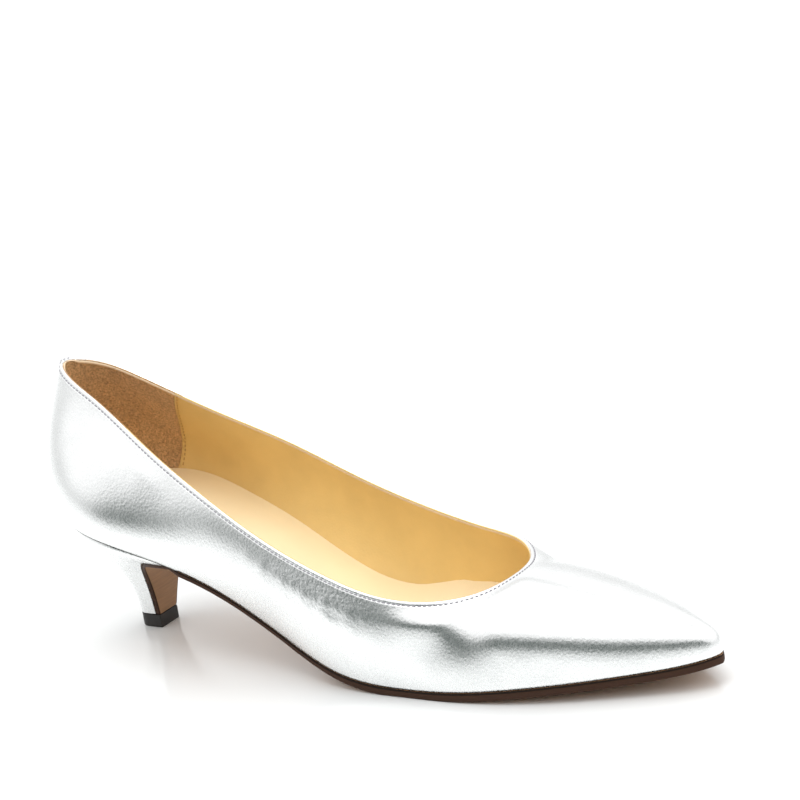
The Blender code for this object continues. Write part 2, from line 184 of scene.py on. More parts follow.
# Depth by which a layer sinks near the topline, and the distances between which it does
SINK_UNDER_STRIP = (0.12, 2.6, 1.8)
SINK_UNDER_FOLD = (0.42, 1.3, 0.4)

# Folded edge and trimmed lining edge, as depth below the topline and height off the skin
GROOVE_DEPTH = 0.10
FOLD_LIFT = 0.04
STRIP_FACE = [
    (FOLD_REACH, -0.10), (4.2, -0.05), (3.6, -0.015), (3.0, 0.01), (2.4, 0.03), (1.95, 0.04),
    (STITCH_LINE + 0.32, 0.03), (STITCH_LINE + 0.16, -0.05), (STITCH_LINE, -GROOVE_DEPTH),
    (STITCH_LINE - 0.16, -0.05), (STITCH_LINE - 0.32, 0.03), (0.8, 0.05), (0.62, 0.045),
]
FOLD_INSIDE = [(1.2, -0.96), (2.4, -0.94), (3.6, -0.6)]
LINING_EDGE = [
    (1.3, -1.02), (0.55, -1.02), (0.38, -1.12), (0.32, -1.3), (0.33, -1.5),
    (0.42, -1.68), (0.6, -1.77), (0.85, -1.77), (1.1, -1.70), (1.3, -1.45),
]

# Front edge of the suede heel grip: a leaning cut, bowed backwards in its middle
GRIP_EDGE_X, GRIP_EDGE_Z = 31.0, 62.0
GRIP_EDGE_LEAN = 0.47
GRIP_EDGE_BOW = 1.6
GRIP_EDGE_REACH = 15.5
GRIP_STITCH_OFFSET = 1.3
GRIP_STITCH_LOW, GRIP_STITCH_HIGH = 46.0, 79.0

# Rounding of the heel cover's upper edge
HEEL_RIM = 0.35

# Painted shadow in the line between upper and heel: a dark ribbon, set in from their edges
SEAT_LINE_INSET = 0.3
SEAT_LINE_STOP = 0.5
SEAT_LINE_HALF = 0.32
SEAT_LINE_DEPTH = 1.2
SEAT_LINE_POINTS = 90

# Rounded edge of the sole, as shares of its thickness and of the trim, and its four finishes; the last
# is a painted shadow line along the top of the edge
SOLE_EDGE_SHARES = (0.0, 0.06, 0.2, 0.45, 0.7, 0.88, 0.97, 1.0)
SOLE_EDGE_OUT = (-0.45, -0.12, 0.0, 0.02, 0.0, -0.08, -0.28, -0.6)
EDGE, UNDERSIDE, FLAP, EDGE_SHADE_LINE = range(4)

# Stitches
STITCH_PITCH = 1.7
STITCH_LENGTH = 1.2
STITCH_RADIUS = 0.17
STITCH_SINK = 0.02
EDGE_STATIONS = 760

# How far the sock's rim turns up against the inner wall: x, rise
SOCK_RIM = [
    (105.0, 0.0), (112.0, 0.5), (118.0, 1.5), (124.0, 3.7), (128.0, 5.1), (131.0, 6.2),
    (136.0, 6.2), (142.0, 6.6), (160.0, 5.0), (185.0, 1.5), (200.0, 0.0),
]
SOCK_TUCK = 0.12
SOCK_CURL, SOCK_CURL_WIDTH = 0.45, 2.2
SOCK_DISH = 0.6
SOCK_DEPTH = 1.5

# Soft creases in the silver leather: ends on one side of the shoe, depth and half width.
# A broad ridge has a depth below 0
CREASE_COLUMNS = ("side", "x0", "z0", "x1", "z1", "depth", "width")
CREASES = [
    (-1, 88.0, 42.0, 157.0, 14.0, -0.85, 8.0),
    (-1, 22.0, 69.0, 62.0, 64.0, -0.80, 9.0),
    (-1, 144.0, 28.0, 222.0, 22.5, -1.1, 7.5),
    (-1, 148.0, 25.0, 196.0, 25.5, -0.6, 6.0),
    (-1, 93.0, 47.0, 90.0, 38.0, 0.10, 1.5),
    (-1, 99.5, 45.0, 95.5, 34.5, 0.15, 1.4),
    (-1, 104.5, 43.0, 102.5, 33.5, 0.18, 1.3),
    (-1, 108.0, 39.5, 104.5, 28.0, 0.22, 1.4),
    (-1, 112.0, 39.5, 110.5, 30.0, 0.19, 1.2),
    (-1, 116.5, 38.0, 112.0, 25.5, 0.24, 1.4),
    (-1, 119.5, 36.5, 119.0, 28.0, 0.19, 1.2),
    (-1, 123.5, 35.5, 120.5, 22.5, 0.22, 1.4),
    (-1, 127.5, 33.0, 128.5, 24.5, 0.18, 1.2),
    (-1, 132.0, 32.0, 130.0, 20.5, 0.16, 1.4),
    (-1, 137.5, 30.0, 138.0, 21.0, 0.11, 1.5),
    (-1, 106.0, 33.5, 124.0, 26.0, 0.08, 1.6),
    (-1, 121.0, 29.5, 137.0, 24.5, 0.07, 1.5),
    (-1, 187.0, 17.0, 183.0, 7.5, 0.12, 3.6),
    (-1, 201.0, 15.5, 198.0, 7.5, 0.10, 3.2),
    (1, 108.0, 38.0, 104.0, 26.0, 0.10, 1.8),
    (1, 116.0, 35.5, 113.0, 23.0, 0.12, 1.7),
    (1, 124.0, 33.0, 123.0, 21.0, 0.10, 1.8),
]

# Creases and ridges fade out between these distances from the topline
CREASE_CLEAR = (1.5, 8.0)

# Tab over the top of the back seam, measured round the topline from the seam and down from it
TAB_OUTER_REACH = 2.2
TAB_INNER_REACH = 8.5
TAB_LENGTH = 12.5
TAB_CORNER = 4.2
TAB_HEIGHT = 0.32
TAB_STITCH_INSET = 1.0
TAB_CLEAR = 0.03
TAB_ROOT = 0.5
TAB_FOLD = (150, 120, 95, 70, 45, 20)

# Silver leather: the worn patch below the topline with its fine lines
SILVER_NAME = "silver_foil_leather"
WORN_MIDDLE = (119.0, -34.0, 30.0)
WORN_REACH = (34.0, 13.0, 15.0)
WORN_CORE = 0.35

# Textures: even scale, the span that a noise mostly fills, and the mix node's colour sockets
EVEN = (1.0, 1.0, 1.0)
NOISE_SPAN = (0.3, 0.7)
MIX_COLOUR_A, MIX_COLOUR_B, MIX_COLOUR_OUT = 6, 7, 2

# Camera: an 800 by 800 picture of the whole shoe
PICTURE_SIZE = 800.0
SENSOR = 36.0
CAMERA_TURN = 37.73
CAMERA_RISE = 18.25
CAMERA_ROLL = -9.68
FOCAL_PIXELS = 4085.0
PIXELS_PER_MM = 3.113
AIM_PIXEL = (391.0, 591.0)
AIM_POINT = (125.0, 0.0, 20.0)

# Studio surroundings: the dark low band's ends, as shares of facing it and of height
BAND_SIDES = (0.35, 0.8)
BAND_HEIGHTS = (0.1, 0.34)
BAND_LIFT_SIDES = (0.60, 0.86)
BAND_LIFT = 0.26
BAND_TINT = (0.0, 0.02, 0.012)
FLOOR_SIZE = 4.0
LIGHT_PLACE = (0.05, 0.0, 1.5)
LIGHT_AIM = (0.1, 0.0, 0.0)
LIGHT_SIZE = (1.6, 1.2)


def natural_spline(knots, values):
    """Returns a smooth function through the rows, with no bend at its two ends."""
    knots = np.asarray(knots, float)
    values = np.asarray(values, float)
    if values.ndim == 1:
        values = values[:, None]
    count = len(knots)
    step = np.diff(knots)
    matrix = np.eye(count)
    bends = np.zeros_like(values)
    slope = np.diff(values, axis=0) / step[:, None]
    for row in range(1, count - 1):
        matrix[row, row - 1 : row + 2] = step[row - 1], 2 * (step[row - 1] + step[row]), step[row]
        bends[row] = 6 * (slope[row] - slope[row - 1])
    bends = np.linalg.solve(matrix, bends)

    def at(place):
        place = np.atleast_1d(np.asarray(place, float))
        row = np.clip(np.searchsorted(knots, place, "right") - 1, 0, count - 2)
        width = step[row]
        before = (knots[row + 1] - place) / width
        after = 1 - before
        curve = (before**3 - before)[:, None] * bends[row]
        curve = curve + (after**3 - after)[:, None] * bends[row + 1]
        line = before[:, None] * values[row] + after[:, None] * values[row + 1]
        return line + curve * (width**2 / 6)[:, None]

    return at


def run_length(points):
    """Length along a line of points, from its first point to each of them."""
    return np.concatenate([[0.0], np.cumsum(np.linalg.norm(np.diff(points, axis=0), axis=1))])


def read_along(places, length, values):
    """Rows of values at places along a line, where length says how far along each row is."""
    return np.stack([np.interp(places, length, column) for column in values.T], 1)


class Loop:
    """A smooth closed curve through a table's rows, down one side and back up the other."""

    def __init__(self, rows):
        outer = [(x, -lateral, z) for x, z, lateral, medial in rows]
        inner = [(x, medial, z) for x, z, lateral, medial in rows[1:-1]]
        points = np.array(outer + inner[::-1])
        count = len(points)
        turns = np.concatenate([points] * 3 + [points[:1]])
        chord = np.linalg.norm(np.diff(turns[:, :2], axis=0), axis=1)
        knots = np.concatenate([[0.0], np.cumsum(chord)])
        curve = natural_spline(knots, turns)
        tip = len(rows) - 1
        self.sides = {}
        for side, start, end in ((-1, count, count + tip), (1, 2 * count, count + tip)):
            fine = curve(np.linspace(knots[start], knots[end], CURVE_POINTS))
            self.sides[side] = (fine, run_length(fine))

    def length_at(self, side, x):
        fine, length = self.sides[side]
        return np.interp(x, fine[:, 0], length)

    def at(self, side, length):
        fine, lengths = self.sides[side]
        return read_along(length, lengths, fine)

    def outward(self, side, length):
        """Unit direction away from the foot, seen from above."""
        fine, lengths = self.sides[side]
        ahead = self.at(side, np.minimum(length + OUTWARD_STEP, lengths[-1]))
        behind = self.at(side, np.maximum(length - OUTWARD_STEP, 0.0))
        along = ahead - behind
        across = np.stack([-side * along[:, 1], side * along[:, 0], 0 * along[:, 2]], 1)
        across[length <= 0.0] = (-1.0, 0.0, 0.0)
        across[length >= lengths[-1]] = (1.0, 0.0, 0.0)
        return across / np.linalg.norm(across, axis=1)[:, None]

    def half_width(self, side, x):
        fine, length = self.sides[side]
        return np.abs(np.interp(x, fine[:, 0], fine[:, 1]))

    def closed(self, count):
        """Evenly spaced points of the whole curve: forward on the outer side, back on the inner."""
        outer, inner = self.sides[-1][0], self.sides[1][0]
        points = np.concatenate([outer, inner[::-1][1:]])
        length = run_length(points)
        return read_along(np.arange(count) * length[-1] / count, length, points)


feather = Loop(FEATHER)
topline = Loop(TOPLINE)
seat_height = natural_spline([row[0] for row in FEATHER], [row[1] for row in FEATHER])
ridge = natural_spline([row[0] for row in RIDGE], [row[1] for row in RIDGE])


def seat_z(x):
    """Height of the sole's upper side under the foot."""
    return seat_height(np.clip(x, FEATHER[0][0], FEATHER[-1][0]))[:, 0]


def sole_thickness(x):
    """Thin in the waist, full under the forefoot."""
    share = np.clip((x - WAIST_FROM) / (WAIST_TO - WAIST_FROM), 0, 1)
    return WAIST_THICKNESS + (SOLE_THICKNESS - WAIST_THICKNESS) * share


def ease(value, start, end):
    """Rises smoothly from 0 at start to 1 at end."""
    share = np.clip((value - start) / (end - start), 0, 1)
    return share * share * (3 - 2 * share)


def unit(vectors):
    return vectors / np.linalg.norm(vectors, axis=-1, keepdims=True)


def wall_grid(side):
    """Outer face of the upper on one side: rows from the feather edge up to topline or ridge."""
    rows = dict(zip(SECTION_COLUMNS, np.array(SECTIONS).T))
    index = np.arange(len(SECTIONS))
    columns = np.linspace(0, len(SECTIONS) - 1, (len(SECTIONS) - 1) * COLUMNS_PER_SECTION + 1)
    throat = THROAT_ROW * COLUMNS_PER_SECTION

    foot_length = natural_spline(index, feather.length_at(side, rows["foot_x"]))(columns)[:, 0]
    foot_length[0] = 0.0
    foot_length[-1] = feather.sides[side][1][-1]
    foot = feather.at(side, foot_length)
    foot[:, 2] = seat_z(foot[:, 0])
    foot_out = feather.outward(side, foot_length)

    behind = index[: THROAT_ROW + 1]
    top_places = natural_spline(behind, topline.length_at(side, rows["top_x"][behind]))
    top_length = top_places(columns[: throat + 1])[:, 0]
    top_length[0] = 0.0
    top_length[-1] = topline.sides[side][1][-1]
    ahead = index[THROAT_ROW:]
    ridge_x = natural_spline(ahead, rows["top_x"][ahead])(columns[throat + 1 :])[:, 0]
    ridge_points = np.stack([ridge_x, 0 * ridge_x, ridge(ridge_x)[:, 0]], 1)
    top = np.concatenate([topline.at(side, top_length), ridge_points])
    top[[0, throat], 1] = 0.0

    def read(name):
        return natural_spline(index, rows[name])(columns)[:, 0][:, None]

    straight = np.array([[0.0, side, 0.0]])
    follow = np.clip(read("follow"), 0.0, 1.0)
    top_out = unit(follow * foot_out + (1 - follow) * straight)
    upright = np.array([[0.0, 0.0, 1.0]])
    name = "lateral" if side < 0 else "medial"
    low = foot + foot_out * read("out_" + name) + upright * read("up_" + name)
    high = top + top_out * read("top_out_" + name) - upright * read("top_down")
    tuck = foot - foot_out * TUCK_DEPTH - upright * TUCK_DROP
    tuck[[0, -1], 1] = 0.0

    share = np.linspace(0, 1, WALL_ROWS + 1)[:, None, None]
    wall = (
        (1 - share) ** 3 * foot
        + 3 * (1 - share) ** 2 * share * low
        + 3 * (1 - share) * share**2 * high
        + share**3 * top
    )
    return wall, tuck


def ease_throat(outer):
    """Evens the skin around the throat, where wall turns into vamp. Its edges stay where they are."""
    throat = THROAT_ROW * COLUMNS_PER_SECTION
    away = np.abs(np.arange(outer[1].shape[1]) - throat) / EASE_COLUMNS
    weight = np.clip(1 - away**2, 0, 1)[None, :, None]
    for strength in (0.5, -0.52) * EASE_PASSES:
        eased = {}
        for side, grid in outer.items():
            above = np.concatenate([grid[1:], outer[-side][-2:-1]])
            below = np.concatenate([grid[:1], grid[:-1]])
            mean = (above + below + np.roll(grid, 1, 1) + np.roll(grid, -1, 1)) / 4
            moved = grid + weight * strength * (mean - grid)
            moved[0] = grid[0]
            moved[-1, : throat + 1] = grid[-1, : throat + 1]
            moved[:, [0, -1]] = grid[:, [0, -1]]
            eased[side] = moved
        outer = eased
    return outer


def quads(start, rows, columns, turn=False, closed=False):
    """Faces of a grid of points that begins at one index. Closed rows join up at their ends."""
    faces = []
    for first in range(start, start + (rows - 1) * columns, columns):
        for column in range(columns if closed else columns - 1):
            here, following = first + column, first + (column + 1) % columns
            face = (here, following, following + columns, here + columns)
            faces.append(face[::-1] if turn else face)
    return faces


def wrapped(faces, count):
    """The same faces, where an index past the last point starts again at the first."""
    return [tuple(corner % count for corner in face) for face in faces]


def in_frame(points):
    """Shoe millimetres to metres in the frame."""
    return (np.asarray(points, float) - (ORIGIN_X, 0.0, 0.0)) * MM


def in_shoe(points):
    """Metres in the frame to shoe millimetres."""
    return np.asarray(points, float) / MM + (ORIGIN_X, 0.0, 0.0)


def make_mesh(name, points, faces, face_materials=None):
    """A mesh from shoe millimetres, with doubled points merged and faces turned outwards."""
    mesh = bpy.data.meshes.new(name)
    mesh.from_pydata([tuple(point) for point in in_frame(points)], [], faces)
    if face_materials is not None:
        mesh.polygons.foreach_set("material_index", np.asarray(face_materials, np.int32))
    work = bmesh.new()
    work.from_mesh(mesh)
    bmesh.ops.remove_doubles(work, verts=work.verts, dist=MERGE_DISTANCE * MM)
    bmesh.ops.recalc_face_normals(work, faces=work.faces)
    work.to_mesh(mesh)
    work.free()
    mesh.shade_smooth()
    return mesh


def corners_of(mesh):
    points = np.empty(len(mesh.vertices) * 3)
    mesh.vertices.foreach_get("co", points)
    return in_shoe(points.reshape(-1, 3))


def normals_of(mesh):
    normals = np.empty(len(mesh.vertices) * 3)
    mesh.vertices.foreach_get("normal", normals)
    return normals.reshape(-1, 3)


def move_corners(mesh, points):
    mesh.vertices.foreach_set("co", in_frame(points).ravel())
    mesh.update()


def place(name, mesh, materials, replaces=(), slot=None, sharp=None):
    """Puts a finished piece in the scene, riding on the shoe's body."""
    for material in materials:
        mesh.materials.append(material)
    if sharp is not None:
        mesh.set_sharp_from_angle(angle=np.radians(sharp))
    piece = bpy.data.objects.new(name, mesh)
    bpy.context.scene.collection.objects.link(piece)
    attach(piece, BODY)
    if replaces:
        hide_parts(*replaces)
    return piece


def evaluated_mesh(obj):
    graph = bpy.context.evaluated_depsgraph_get()
    return bpy.data.meshes.new_from_object(obj.evaluated_get(graph))


def vectors(points):
    return [Vector(point) for point in points]


def control_cage():
    """The coarse cage of the outer face, with the strip tucked under the feather edge."""
    walls, tucks = {}, {}
    for side in (-1, 1):
        walls[side], tucks[side] = wall_grid(side)
    walls = ease_throat(walls)
    points, faces = [], []
    for side in (-1, 1):
        grid = np.concatenate([tucks[side][None], walls[side]])
        rows, columns = grid.shape[:2]
        faces += quads(sum(map(len, points)), rows, columns, turn=side > 0)
        points.append(grid.reshape(-1, 3))
    mesh = make_mesh("cage", np.concatenate(points), faces)
    level = seat_z(corners_of(mesh)[:, 0])
    height = corners_of(mesh)[:, 2] - level
    crease = mesh.attributes.new("crease_edge", "FLOAT", "EDGE")
    for edge in mesh.edges:
        on_edge = max(abs(height[corner]) for corner in edge.vertices) < 0.01
        crease.data[edge.index].value = FEATHER_CREASE if on_edge else 0.0
    return mesh


def smooth_skin():
    """The outer face as a fine mesh that runs through the corners of its cage."""
    cage = control_cage()
    target = corners_of(cage)
    holder = bpy.data.objects.new("cage", cage)
    bpy.context.scene.collection.objects.link(holder)
    rounding = holder.modifiers.new("round", "SUBSURF")
    rounding.levels = rounding.render_levels = SKIN_LEVELS
    rounding.boundary_smooth = "PRESERVE_CORNERS"
    for _ in range(SKIN_FITS):
        fine = evaluated_mesh(holder)
        miss = target - corners_of(fine)[: len(target)]
        move_corners(cage, corners_of(cage) + miss)
        bpy.data.meshes.remove(fine)
    fine = evaluated_mesh(holder)
    bpy.data.objects.remove(holder)
    bpy.data.meshes.remove(cage)
    return fine


class Skin:
    """The outer face: its points, its normals, and the nearest place on it."""

    def __init__(self, mesh):
        self.mesh = mesh
        self.points = corners_of(mesh)
        self.normals = normals_of(mesh)
        self.faces = [tuple(face.vertices) for face in mesh.polygons]
        self.tree = BVHTree.FromPolygons(vectors(self.points), self.faces)

    def nearest(self, points):
        """Closest places and smooth normals there."""
        places = np.empty((len(points), 3))
        normals = np.empty((len(points), 3))
        for row, point in enumerate(points):
            spot, _, face, _ = self.tree.find_nearest(Vector(point))
            corners = list(self.faces[face])
            away = np.linalg.norm(self.points[corners] - np.array(spot), axis=1) + 1e-4
            weight = 1 / away**2
            places[row] = spot
            normals[row] = (self.normals[corners] * weight[:, None]).sum(0)
        return places, unit(normals)


def crease_depths(points):
    """How far the leather dips at each point, from the table of creases."""
    depth = np.zeros(len(points))
    for row in CREASES:
        crease = dict(zip(CREASE_COLUMNS, row))
        start = np.array([crease["x0"], crease["z0"]])
        line = np.array([crease["x1"], crease["z1"]]) - start
        flat = points[:, [0, 2]] - start
        share = flat @ line / (line @ line)
        across = np.abs(flat[:, 0] * line[1] - flat[:, 1] * line[0]) / np.linalg.norm(line)
        fade = ease(share, -0.05, 0.35) * ease(-share, -1.05, -0.65)
        dip = np.exp(-((across / crease["width"]) ** 2))
        same_side = ease(points[:, 1] * crease["side"], 0.0, 6.0)
        depth += crease["depth"] * dip * fade * same_side
    return depth * ease(edge_distance(points), *CREASE_CLEAR)


def smooth_loop(values, passes):
    for _ in range(passes):
        values = (np.roll(values, 1, 0) + 2 * values + np.roll(values, -1, 0)) / 4
    return values


def edge_frames(skin):
    """Points of the topline with the directions out of the leather and down along it."""
    points = topline.closed(EDGE_STATIONS)
    tangent = unit(np.roll(points, -1, 0) - np.roll(points, 1, 0))
    _, out = skin.nearest(points)
    out = unit(smooth_loop(out, 12))
    down = np.cross(tangent, out)
    inside = points.mean(0)
    down *= np.sign(np.einsum("ij,ij->i", down, points - inside))[:, None]
    return points, out, unit(down)


def build_skin():
    mesh = smooth_skin()
    skin = Skin(mesh)
    depth = crease_depths(skin.points)
    at_back = ease(-skin.points[:, 0], -BACK_SEAM_REACH, -BACK_SEAM_REACH / 2)
    depth += BACK_SEAM_DEPTH * at_back * np.exp(-((skin.points[:, 1] / BACK_SEAM_WIDTH) ** 2))
    move_corners(mesh, skin.points - skin.normals * depth[:, None])
    return Skin(mesh)


def edge_distance(points):
    """Distance of each point from the topline."""
    edge = topline.closed(EDGE_STATIONS)
    slivers = [(spot, (spot + 1) % EDGE_STATIONS, spot) for spot in range(EDGE_STATIONS)]
    tree = BVHTree.FromPolygons(vectors(edge), slivers)
    return np.array([tree.find_nearest(point)[3] for point in vectors(points)])


skin = build_skin()
skin_edge_distance = edge_distance(skin.points)
edge_points, edge_out, edge_down = edge_frames(skin)


def swept_ring(profile, smooth_passes=4):
    """Points of a closed profile swept round the topline: depth below it and height off the skin."""
    rows = []
    for down, height in profile:
        spots, out = skin.nearest(edge_points + edge_down * max(down, 0.0))
        spots = smooth_loop(spots, smooth_passes)
        out = unit(smooth_loop(out, smooth_passes))
        rows.append(spots + out * height - edge_down * min(down, 0.0))
    return np.array(rows)


def ring_mesh(name, rows):
    """A closed tube from rows of points that run round a loop."""
    count, stations = rows.shape[:2]
    faces = wrapped(quads(0, count + 1, stations, closed=True), count * stations)
    return make_mesh(name, rows.reshape(-1, 3), faces)


class Nodes:
    """Short calls for the nodes of one material, or of the world."""

    def __init__(self, tree):
        self.nodes, self.links = tree.nodes, tree.links

    def add(self, kind, inputs, **fields):
        """A new node, with its fields set, and its inputs set or linked."""
        node = self.nodes.new("ShaderNode" + kind)
        for name, value in fields.items():
            setattr(node, name, value)
        for key, value in inputs.items():
            if isinstance(value, bpy.types.NodeSocket):
                self.links.new(value, node.inputs[key])
            else:
                node.inputs[key].default_value = value
        return node

    def ranged(self, value, low, high, out_low=0.0, out_high=1.0, curve="LINEAR"):
        """Maps a value from one range to another, and holds it at their ends."""
        inputs = {"Value": value, "From Min": low, "From Max": high}
        inputs.update({"To Min": out_low, "To Max": out_high})
        return self.add("MapRange", inputs, interpolation_type=curve).outputs["Result"]

    def joined(self, operation, first, second):
        return self.add("Math", {0: first, 1: second}, operation=operation).outputs["Value"]

    def vector(self, operation, first, second=(0.0, 0.0, 0.0), output="Vector"):
        return self.add("VectorMath", {0: first, 1: second}, operation=operation).outputs[output]


class Shader(Nodes):
    """A Principled material, with short calls for the textures that feed it."""

    def __init__(self, name, colour, roughness, metallic=0.0, **fixed):
        self.material = bpy.data.materials.new(name)
        self.material.use_nodes = True
        super().__init__(self.material.node_tree)
        self.body = self.nodes["Principled BSDF"]
        fixed.update(Base_Color=(*colour, 1.0), Roughness=roughness, Metallic=metallic)
        for socket, value in fixed.items():
            self.body.inputs[socket.replace("_", " ")].default_value = value
        self.place = self.add("TexCoord", {}).outputs["Object"]

    def stretched(self, stretch):
        if stretch == EVEN:
            return self.place
        return self.add("Mapping", {"Vector": self.place, "Scale": stretch}).outputs["Vector"]

    def noise(self, size_mm, detail=3.0, rough=0.5, stretch=EVEN):
        inputs = {"Scale": 1 / (size_mm * MM), "Detail": detail, "Roughness": rough}
        inputs["Vector"] = self.stretched(stretch)
        return self.add("TexNoise", inputs).outputs["Fac"]

    def cells(self, size_mm, feature="F1", stretch=EVEN):
        inputs = {"Scale": 1 / (size_mm * MM), "Vector": self.stretched(stretch)}
        return self.add("TexVoronoi", inputs, feature=feature).outputs["Distance"]

    def around(self, middle, reach):
        """1 near a place on the shoe, fading to 0 at its reach. Both are shoe millimetres."""
        away = self.vector("SUBTRACT", self.place, in_frame(middle))
        share = self.vector("DIVIDE", away, np.array(reach) * MM)
        return self.ranged(self.vector("LENGTH", share, output="Value"), WORN_CORE, 1.0, 1.0, 0.0)

    def shades(self, share, colour, dark, light):
        """Colours the piece between two shades of one colour, by a value from 0 to 1."""
        ends = [(*scaled(colour, factor), 1.0) for factor in (dark, light)]
        inputs = {0: share, MIX_COLOUR_A: ends[0], MIX_COLOUR_B: ends[1]}
        mixed = self.add("Mix", inputs, data_type="RGBA").outputs[MIX_COLOUR_OUT]
        self.links.new(mixed, self.body.inputs["Base Color"])

    def gloss(self, value, low, high):
        """Roughness between two ends, by a noise."""
        self.links.new(self.ranged(value, *NOISE_SPAN, low, high), self.body.inputs["Roughness"])

    def bump(self, *layers):
        """Layers of (height, depth in millimetres), one on the other."""
        below = {}
        for height, depth_mm in layers:
            inputs = {"Strength": 1.0, "Distance": depth_mm * MM, "Height": height, **below}
            below = {"Normal": self.add("Bump", inputs).outputs["Normal"]}
        self.links.new(below["Normal"], self.body.inputs["Normal"])


def scaled(colour, factor):
    return tuple(min(1.0, max(0.0, value * factor)) for value in colour)


def silver_leather(colours):
    """Foil on fine leather: a soft mirror, broken up by small grain and worn lines."""
    silver = tuple(colours.silver)
    shader = Shader(SILVER_NAME, silver, 0.3, 1.0, IOR=1.5)
    grain = shader.cells(0.95)
    fine = shader.noise(0.7, 4.0, 0.65)
    cloud = shader.noise(14.0)
    lines = shader.ranged(shader.cells(1.9, "DISTANCE_TO_EDGE", (1.0, 1.0, 0.7)), 0.0, 0.34)
    wrinkles = shader.joined("MULTIPLY", lines, shader.around(WORN_MIDDLE, WORN_REACH))
    shader.shades(shader.ranged(cloud, 0.35, 0.65), silver, 0.96, 1.02)
    shader.gloss(fine, 0.22, 0.32)
    shader.bump((cloud, 0.05), (wrinkles, 0.032), (grain, 0.03), (fine, 0.03))
    return shader.material


def lining_leather(name, tan):
    """Smooth lining leather with fine pores and a cloudy dye."""
    shader = Shader(name, tan, 0.5, Specular_IOR_Level=0.35)
    fine = shader.noise(0.5, 4.0, 0.6, (1.0, 1.0, 0.55))
    shader.shades(shader.ranged(shader.noise(18.0, 4.0), *NOISE_SPAN), tan, 0.93, 1.06)
    shader.gloss(fine, 0.46, 0.62)
    shader.bump((shader.cells(0.9), 0.03), (fine, 0.03))
    return shader.material


def sock_leather(colours):
    """Smooth pale leather with a soft gloss."""
    cream = tuple(colours.sock)
    shader = Shader("cream_sock_leather", cream, 0.5, Specular_IOR_Level=0.4)
    fine = shader.noise(0.45, 4.0, 0.6)
    shader.shades(shader.ranged(shader.noise(22.0), *NOISE_SPAN), cream, 0.96, 1.03)
    shader.gloss(fine, 0.42, 0.55)
    shader.bump((shader.cells(0.8), 0.015), (fine, 0.02))
    return shader.material


def suede(colours):
    """Brushed nap: speckled light and dark, with no shine."""
    brown = tuple(colours.suede)
    sheen = {"Sheen_Weight": 0.25, "Sheen_Roughness": 0.5}
    shader = Shader("brown_suede", brown, 0.95, Specular_IOR_Level=0.1, **sheen)
    nap = shader.noise(0.75, 6.0, 0.85)
    strokes = shader.ranged(shader.noise(5.0, stretch=(1.0, 1.0, 0.4)), 0.2, 0.7, 0.7, 1.1)
    share = shader.joined("MULTIPLY", shader.ranged(nap, 0.38, 0.6), strokes)
    shader.shades(share, brown, 0.5, 1.35)
    shader.bump((nap, 0.16))
    return shader.material


def sole_leather(name, brown, gloss, shine=0.35):
    """Stacked leather, with its layers running level."""
    shader = Shader(name, brown, gloss, Specular_IOR_Level=shine)
    layers = shader.noise(1.2, 4.0, 0.6, (0.15, 0.15, 3.0))
    cloud = shader.ranged(shader.noise(9.0), *NOISE_SPAN, 0.7, 1.0)
    share = shader.joined("MULTIPLY", shader.ranged(layers, *NOISE_SPAN, 0.2, 1.0), cloud)
    shader.shades(share, brown, 0.72, 1.15)
    shader.gloss(layers, gloss - 0.08, gloss + 0.12)
    shader.bump((layers, 0.05), (shader.noise(0.4), 0.02))
    return shader.material


def thread(name, tint):
    """Twisted thread, a little uneven."""
    shader = Shader(name, tint, 0.6)
    twist = shader.noise(0.25, 2.0)
    shader.shades(shader.ranged(twist, *NOISE_SPAN), tint, 0.7, 1.15)
    shader.bump((twist, 0.04))
    return shader.material


def rubber(colours):
    """Matt black rubber."""
    black = tuple(colours.rubber)
    shader = Shader("black_heel_rubber", black, 0.5, Specular_IOR_Level=0.4)
    fine = shader.noise(0.5, 4.0, 0.6)
    shader.shades(shader.ranged(fine, 0.3, 0.75), black, 1.0, 1.8)
    shader.gloss(fine, 0.42, 0.6)
    shader.bump((fine, 0.03))
    return shader.material


def colour_prop(name, description, default):
    return FloatVectorProperty(
        name=name, description=description, default=default, subtype="COLOR", size=3, min=0, max=1
    )


class PumpColours(bpy.types.PropertyGroup):
    silver: colour_prop("Silver", "Foil of the upper and the heel cover", (0.91, 0.92, 0.92))
    lining: colour_prop("Lining", "Leather inside the upper", (0.84, 0.61, 0.25))
    cut_edge: colour_prop(
        "Cut edge", "Trimmed edge of the lining at the topline", (0.86, 0.66, 0.45)
    )
    sock: colour_prop("Sock", "Leather on the insole", (0.97, 0.81, 0.52))
    suede: colour_prop("Suede", "Heel grip inside the back", (0.62, 0.39, 0.20))
    sole_edge: colour_prop("Sole edge", "Painted edge of the outsole", (0.062, 0.030, 0.018))
    sole: colour_prop(
        "Sole", "Outsole leather, underneath and on the heel's front", (0.40, 0.225, 0.115)
    )
    # Mid grey: the thread's own grey, darkened further as painted shade of the groove the stitches sit
    # in
    thread: colour_prop("Thread", "Stitches along the topline", (0.40, 0.38, 0.42))
    tab_thread: colour_prop("Tab thread", "Stitches of the back tab", (0.80, 0.80, 0.81))
    lining_thread: colour_prop("Lining thread", "Stitches of the heel grip", (0.55, 0.34, 0.12))
    rubber: colour_prop("Rubber", "Top piece under the heel", (0.022, 0.020, 0.019))
    floor: colour_prop("Floor", "Studio floor", (0.925, 0.935, 0.932))


class PumpSizes(bpy.types.PropertyGroup):
    stitch_pitch: FloatProperty(
        name="Stitch pitch", description="Distance from one stitch to the next",
        default=STITCH_PITCH * MM, unit="LENGTH"
    )
    stitch_length: FloatProperty(
        name="Stitch length", description="Visible length of one stitch",
        default=STITCH_LENGTH * MM, unit="LENGTH"
    )
    heel_slices: IntProperty(
        name="Heel slices", description="Slices between two rows of the heel's table",
        default=6, min=2,
    )
    heel_ring: IntProperty(
        name="Heel ring", description="Points round one side of a heel slice", default=32, min=8
    )


